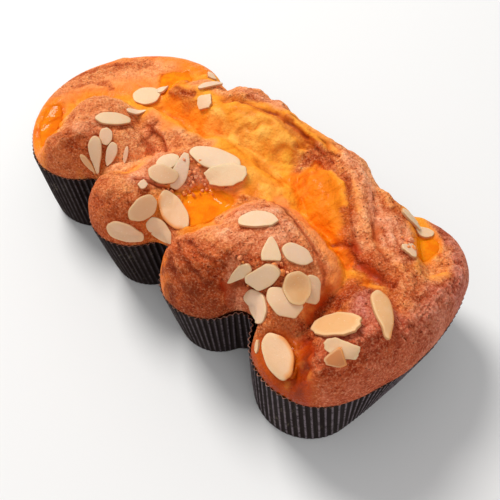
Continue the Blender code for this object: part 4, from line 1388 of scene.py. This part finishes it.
def almond_material(piece):
    """Ivory almond, toasted by its own share, with a darker rim and small painted glints."""
    almond = Paint("sliced_almond", Subsurface_Weight=0.25, Subsurface_Scale=0.0015,
                   Subsurface_Radius=(1.0, 0.6, 0.35), Specular_IOR_Level=0.3)
    toast = almond.value("toast")
    rim = almond.value("rim")
    cloud = almond.noise(4 * MM, 3.0, 0.5)
    fibre = almond.noise(0.7 * MM, 3.0, 0.6)
    glint_spots = 1 - almond.cells(1.5 * MM).ramp(0.05, 0.12)
    pale = almond.mix(almond.value("pick"), IVORY, ROSY_IVORY)
    colour = almond.mix(toast.ramp(0.0, 0.7) * 0.9 + (cloud - 0.5) * 0.4, pale, TOASTED)
    colour = almond.mix(toast.ramp(0.7, 1.0), colour, SCORCHED)
    colour = almond.mix(rim.ramp(0.72, 0.92) * 0.4, colour, FLAKE_EDGE)
    colour = almond.mix(rim.ramp(0.965, 1.0) * 0.7, colour, FLAKE_RIM)
    colour = almond.mix(almond.value("skin") * 0.85, colour, SKIN_BROWN)
    # Painted glints on the flakes.
    colour = almond.mix(glint_spots * 0.6, colour, PAINTED_GLINT)
    almond.finish(piece, Base_Color=colour, Roughness=0.42 + fibre * 0.2,
                  Normal=almond.bump(fibre + cloud, 0.10 * MM))


paper_material(case)
jam_material(*jams)
almond_material(flakes)

# %% [markdown]
# ## Floor, light and camera
#
# The loaf stands on a pale sweep.  A broad window behind and to the left lights the
# domes, and a weak one in front fills the shadows.  The camera looks down on the broad
# end's near corner, as the photograph does.

# %% Floor and light
FLOOR_SIZE = 6.0
CAMERA_PLACE = np.array([135.214, -116.026, 227.298]) * MM
CAMERA_AZIMUTH, CAMERA_ELEVATION, CAMERA_ROLL = np.radians([46.12, 52.3, 0.87])
CAMERA_LENS, SENSOR = 47.77, 36.0


def plain_material(name, colour, roughness):
    """A material of one colour."""
    material = bpy.data.materials.new(name)
    material.use_nodes = True
    shader = material.node_tree.nodes["Principled BSDF"]
    shader.inputs["Base Color"].default_value = (*colour, 1.0)
    shader.inputs["Roughness"].default_value = roughness
    return material


half = FLOOR_SIZE / 2
floor_mesh = bpy.data.meshes.new("floor")
floor_mesh.from_pydata([(-half, -half, 0), (half, -half, 0), (half, half, 0), (-half, half, 0)],
                       [], [(0, 1, 2, 3)])
floor = bpy.data.objects.new("floor", floor_mesh)
bpy.context.scene.collection.objects.link(floor)
floor.data.materials.append(plain_material("pale_floor", (0.86, 0.86, 0.86), 0.9))
floor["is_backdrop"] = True


def stand(name, data, place, right, up, back):
    """A light or camera at a place, with its own x, y and z axes along the last three."""
    thing = bpy.data.objects.new(name, data)
    axes = np.array([right, up, back]).T
    thing.matrix_world = Matrix([[*row, p] for row, p in zip(axes, place)] + [[0, 0, 0, 1]])
    bpy.context.scene.collection.objects.link(thing)
    return thing


def soft_light(name, place, size, power, colour):
    """An area light that faces the loaf."""
    data = bpy.data.lights.new(name, "AREA")
    data.shape, data.size, data.energy, data.color = "DISK", size, power, colour
    place = np.array(place, float)
    back = place / np.linalg.norm(place)
    right = np.cross((0, 0, 1), back)
    right /= np.linalg.norm(right)
    stand(name, data, place, right, np.cross(back, right), back)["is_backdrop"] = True


soft_light("window", (-0.90, 0.08, 1.20), 0.60, 18.0, (1.0, 0.98, 0.95))
soft_light("fill", (0.75, -0.45, 0.90), 0.8, 2.2, (1.0, 1.0, 1.0))
world = bpy.data.worlds.new("studio")
bpy.context.scene.world = world
world.use_nodes = True
world.node_tree.nodes["Background"].inputs["Color"].default_value = (1.0, 1.0, 1.0, 1.0)
world.node_tree.nodes["Background"].inputs["Strength"].default_value = 0.42

# %% [markdown]
# The camera is turned by an azimuth and an elevation, and then rolled a little about the
# line it looks along.

# %% Camera
sin_a, cos_a = np.sin(CAMERA_AZIMUTH), np.cos(CAMERA_AZIMUTH)
sin_e, cos_e = np.sin(CAMERA_ELEVATION), np.cos(CAMERA_ELEVATION)
back = np.array([sin_a * cos_e, -cos_a * cos_e, sin_e])
right = np.array([cos_a, sin_a, 0.0])
up = np.cross(back, right)
turned_right = right * np.cos(CAMERA_ROLL) + up * np.sin(CAMERA_ROLL)
turned_up = up * np.cos(CAMERA_ROLL) - right * np.sin(CAMERA_ROLL)
camera_data = bpy.data.cameras.new("camera")
camera_data.lens, camera_data.sensor_width = CAMERA_LENS, SENSOR
bpy.context.scene.camera = stand("camera", camera_data, CAMERA_PLACE,
                                 turned_right, turned_up, back)
bpy.context.scene.view_settings.view_transform = "Standard"

# %% [markdown]
# ## Sizes
#
# The boxes round the CAD model and round the visual model are printed.

# %% Sizes of both models
boxes = {"cad": CAD_BOX, "visual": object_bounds()}
boxes = {name: [[float(v) for v in corner] for corner in box] for name, box in boxes.items()}
print(boxes)
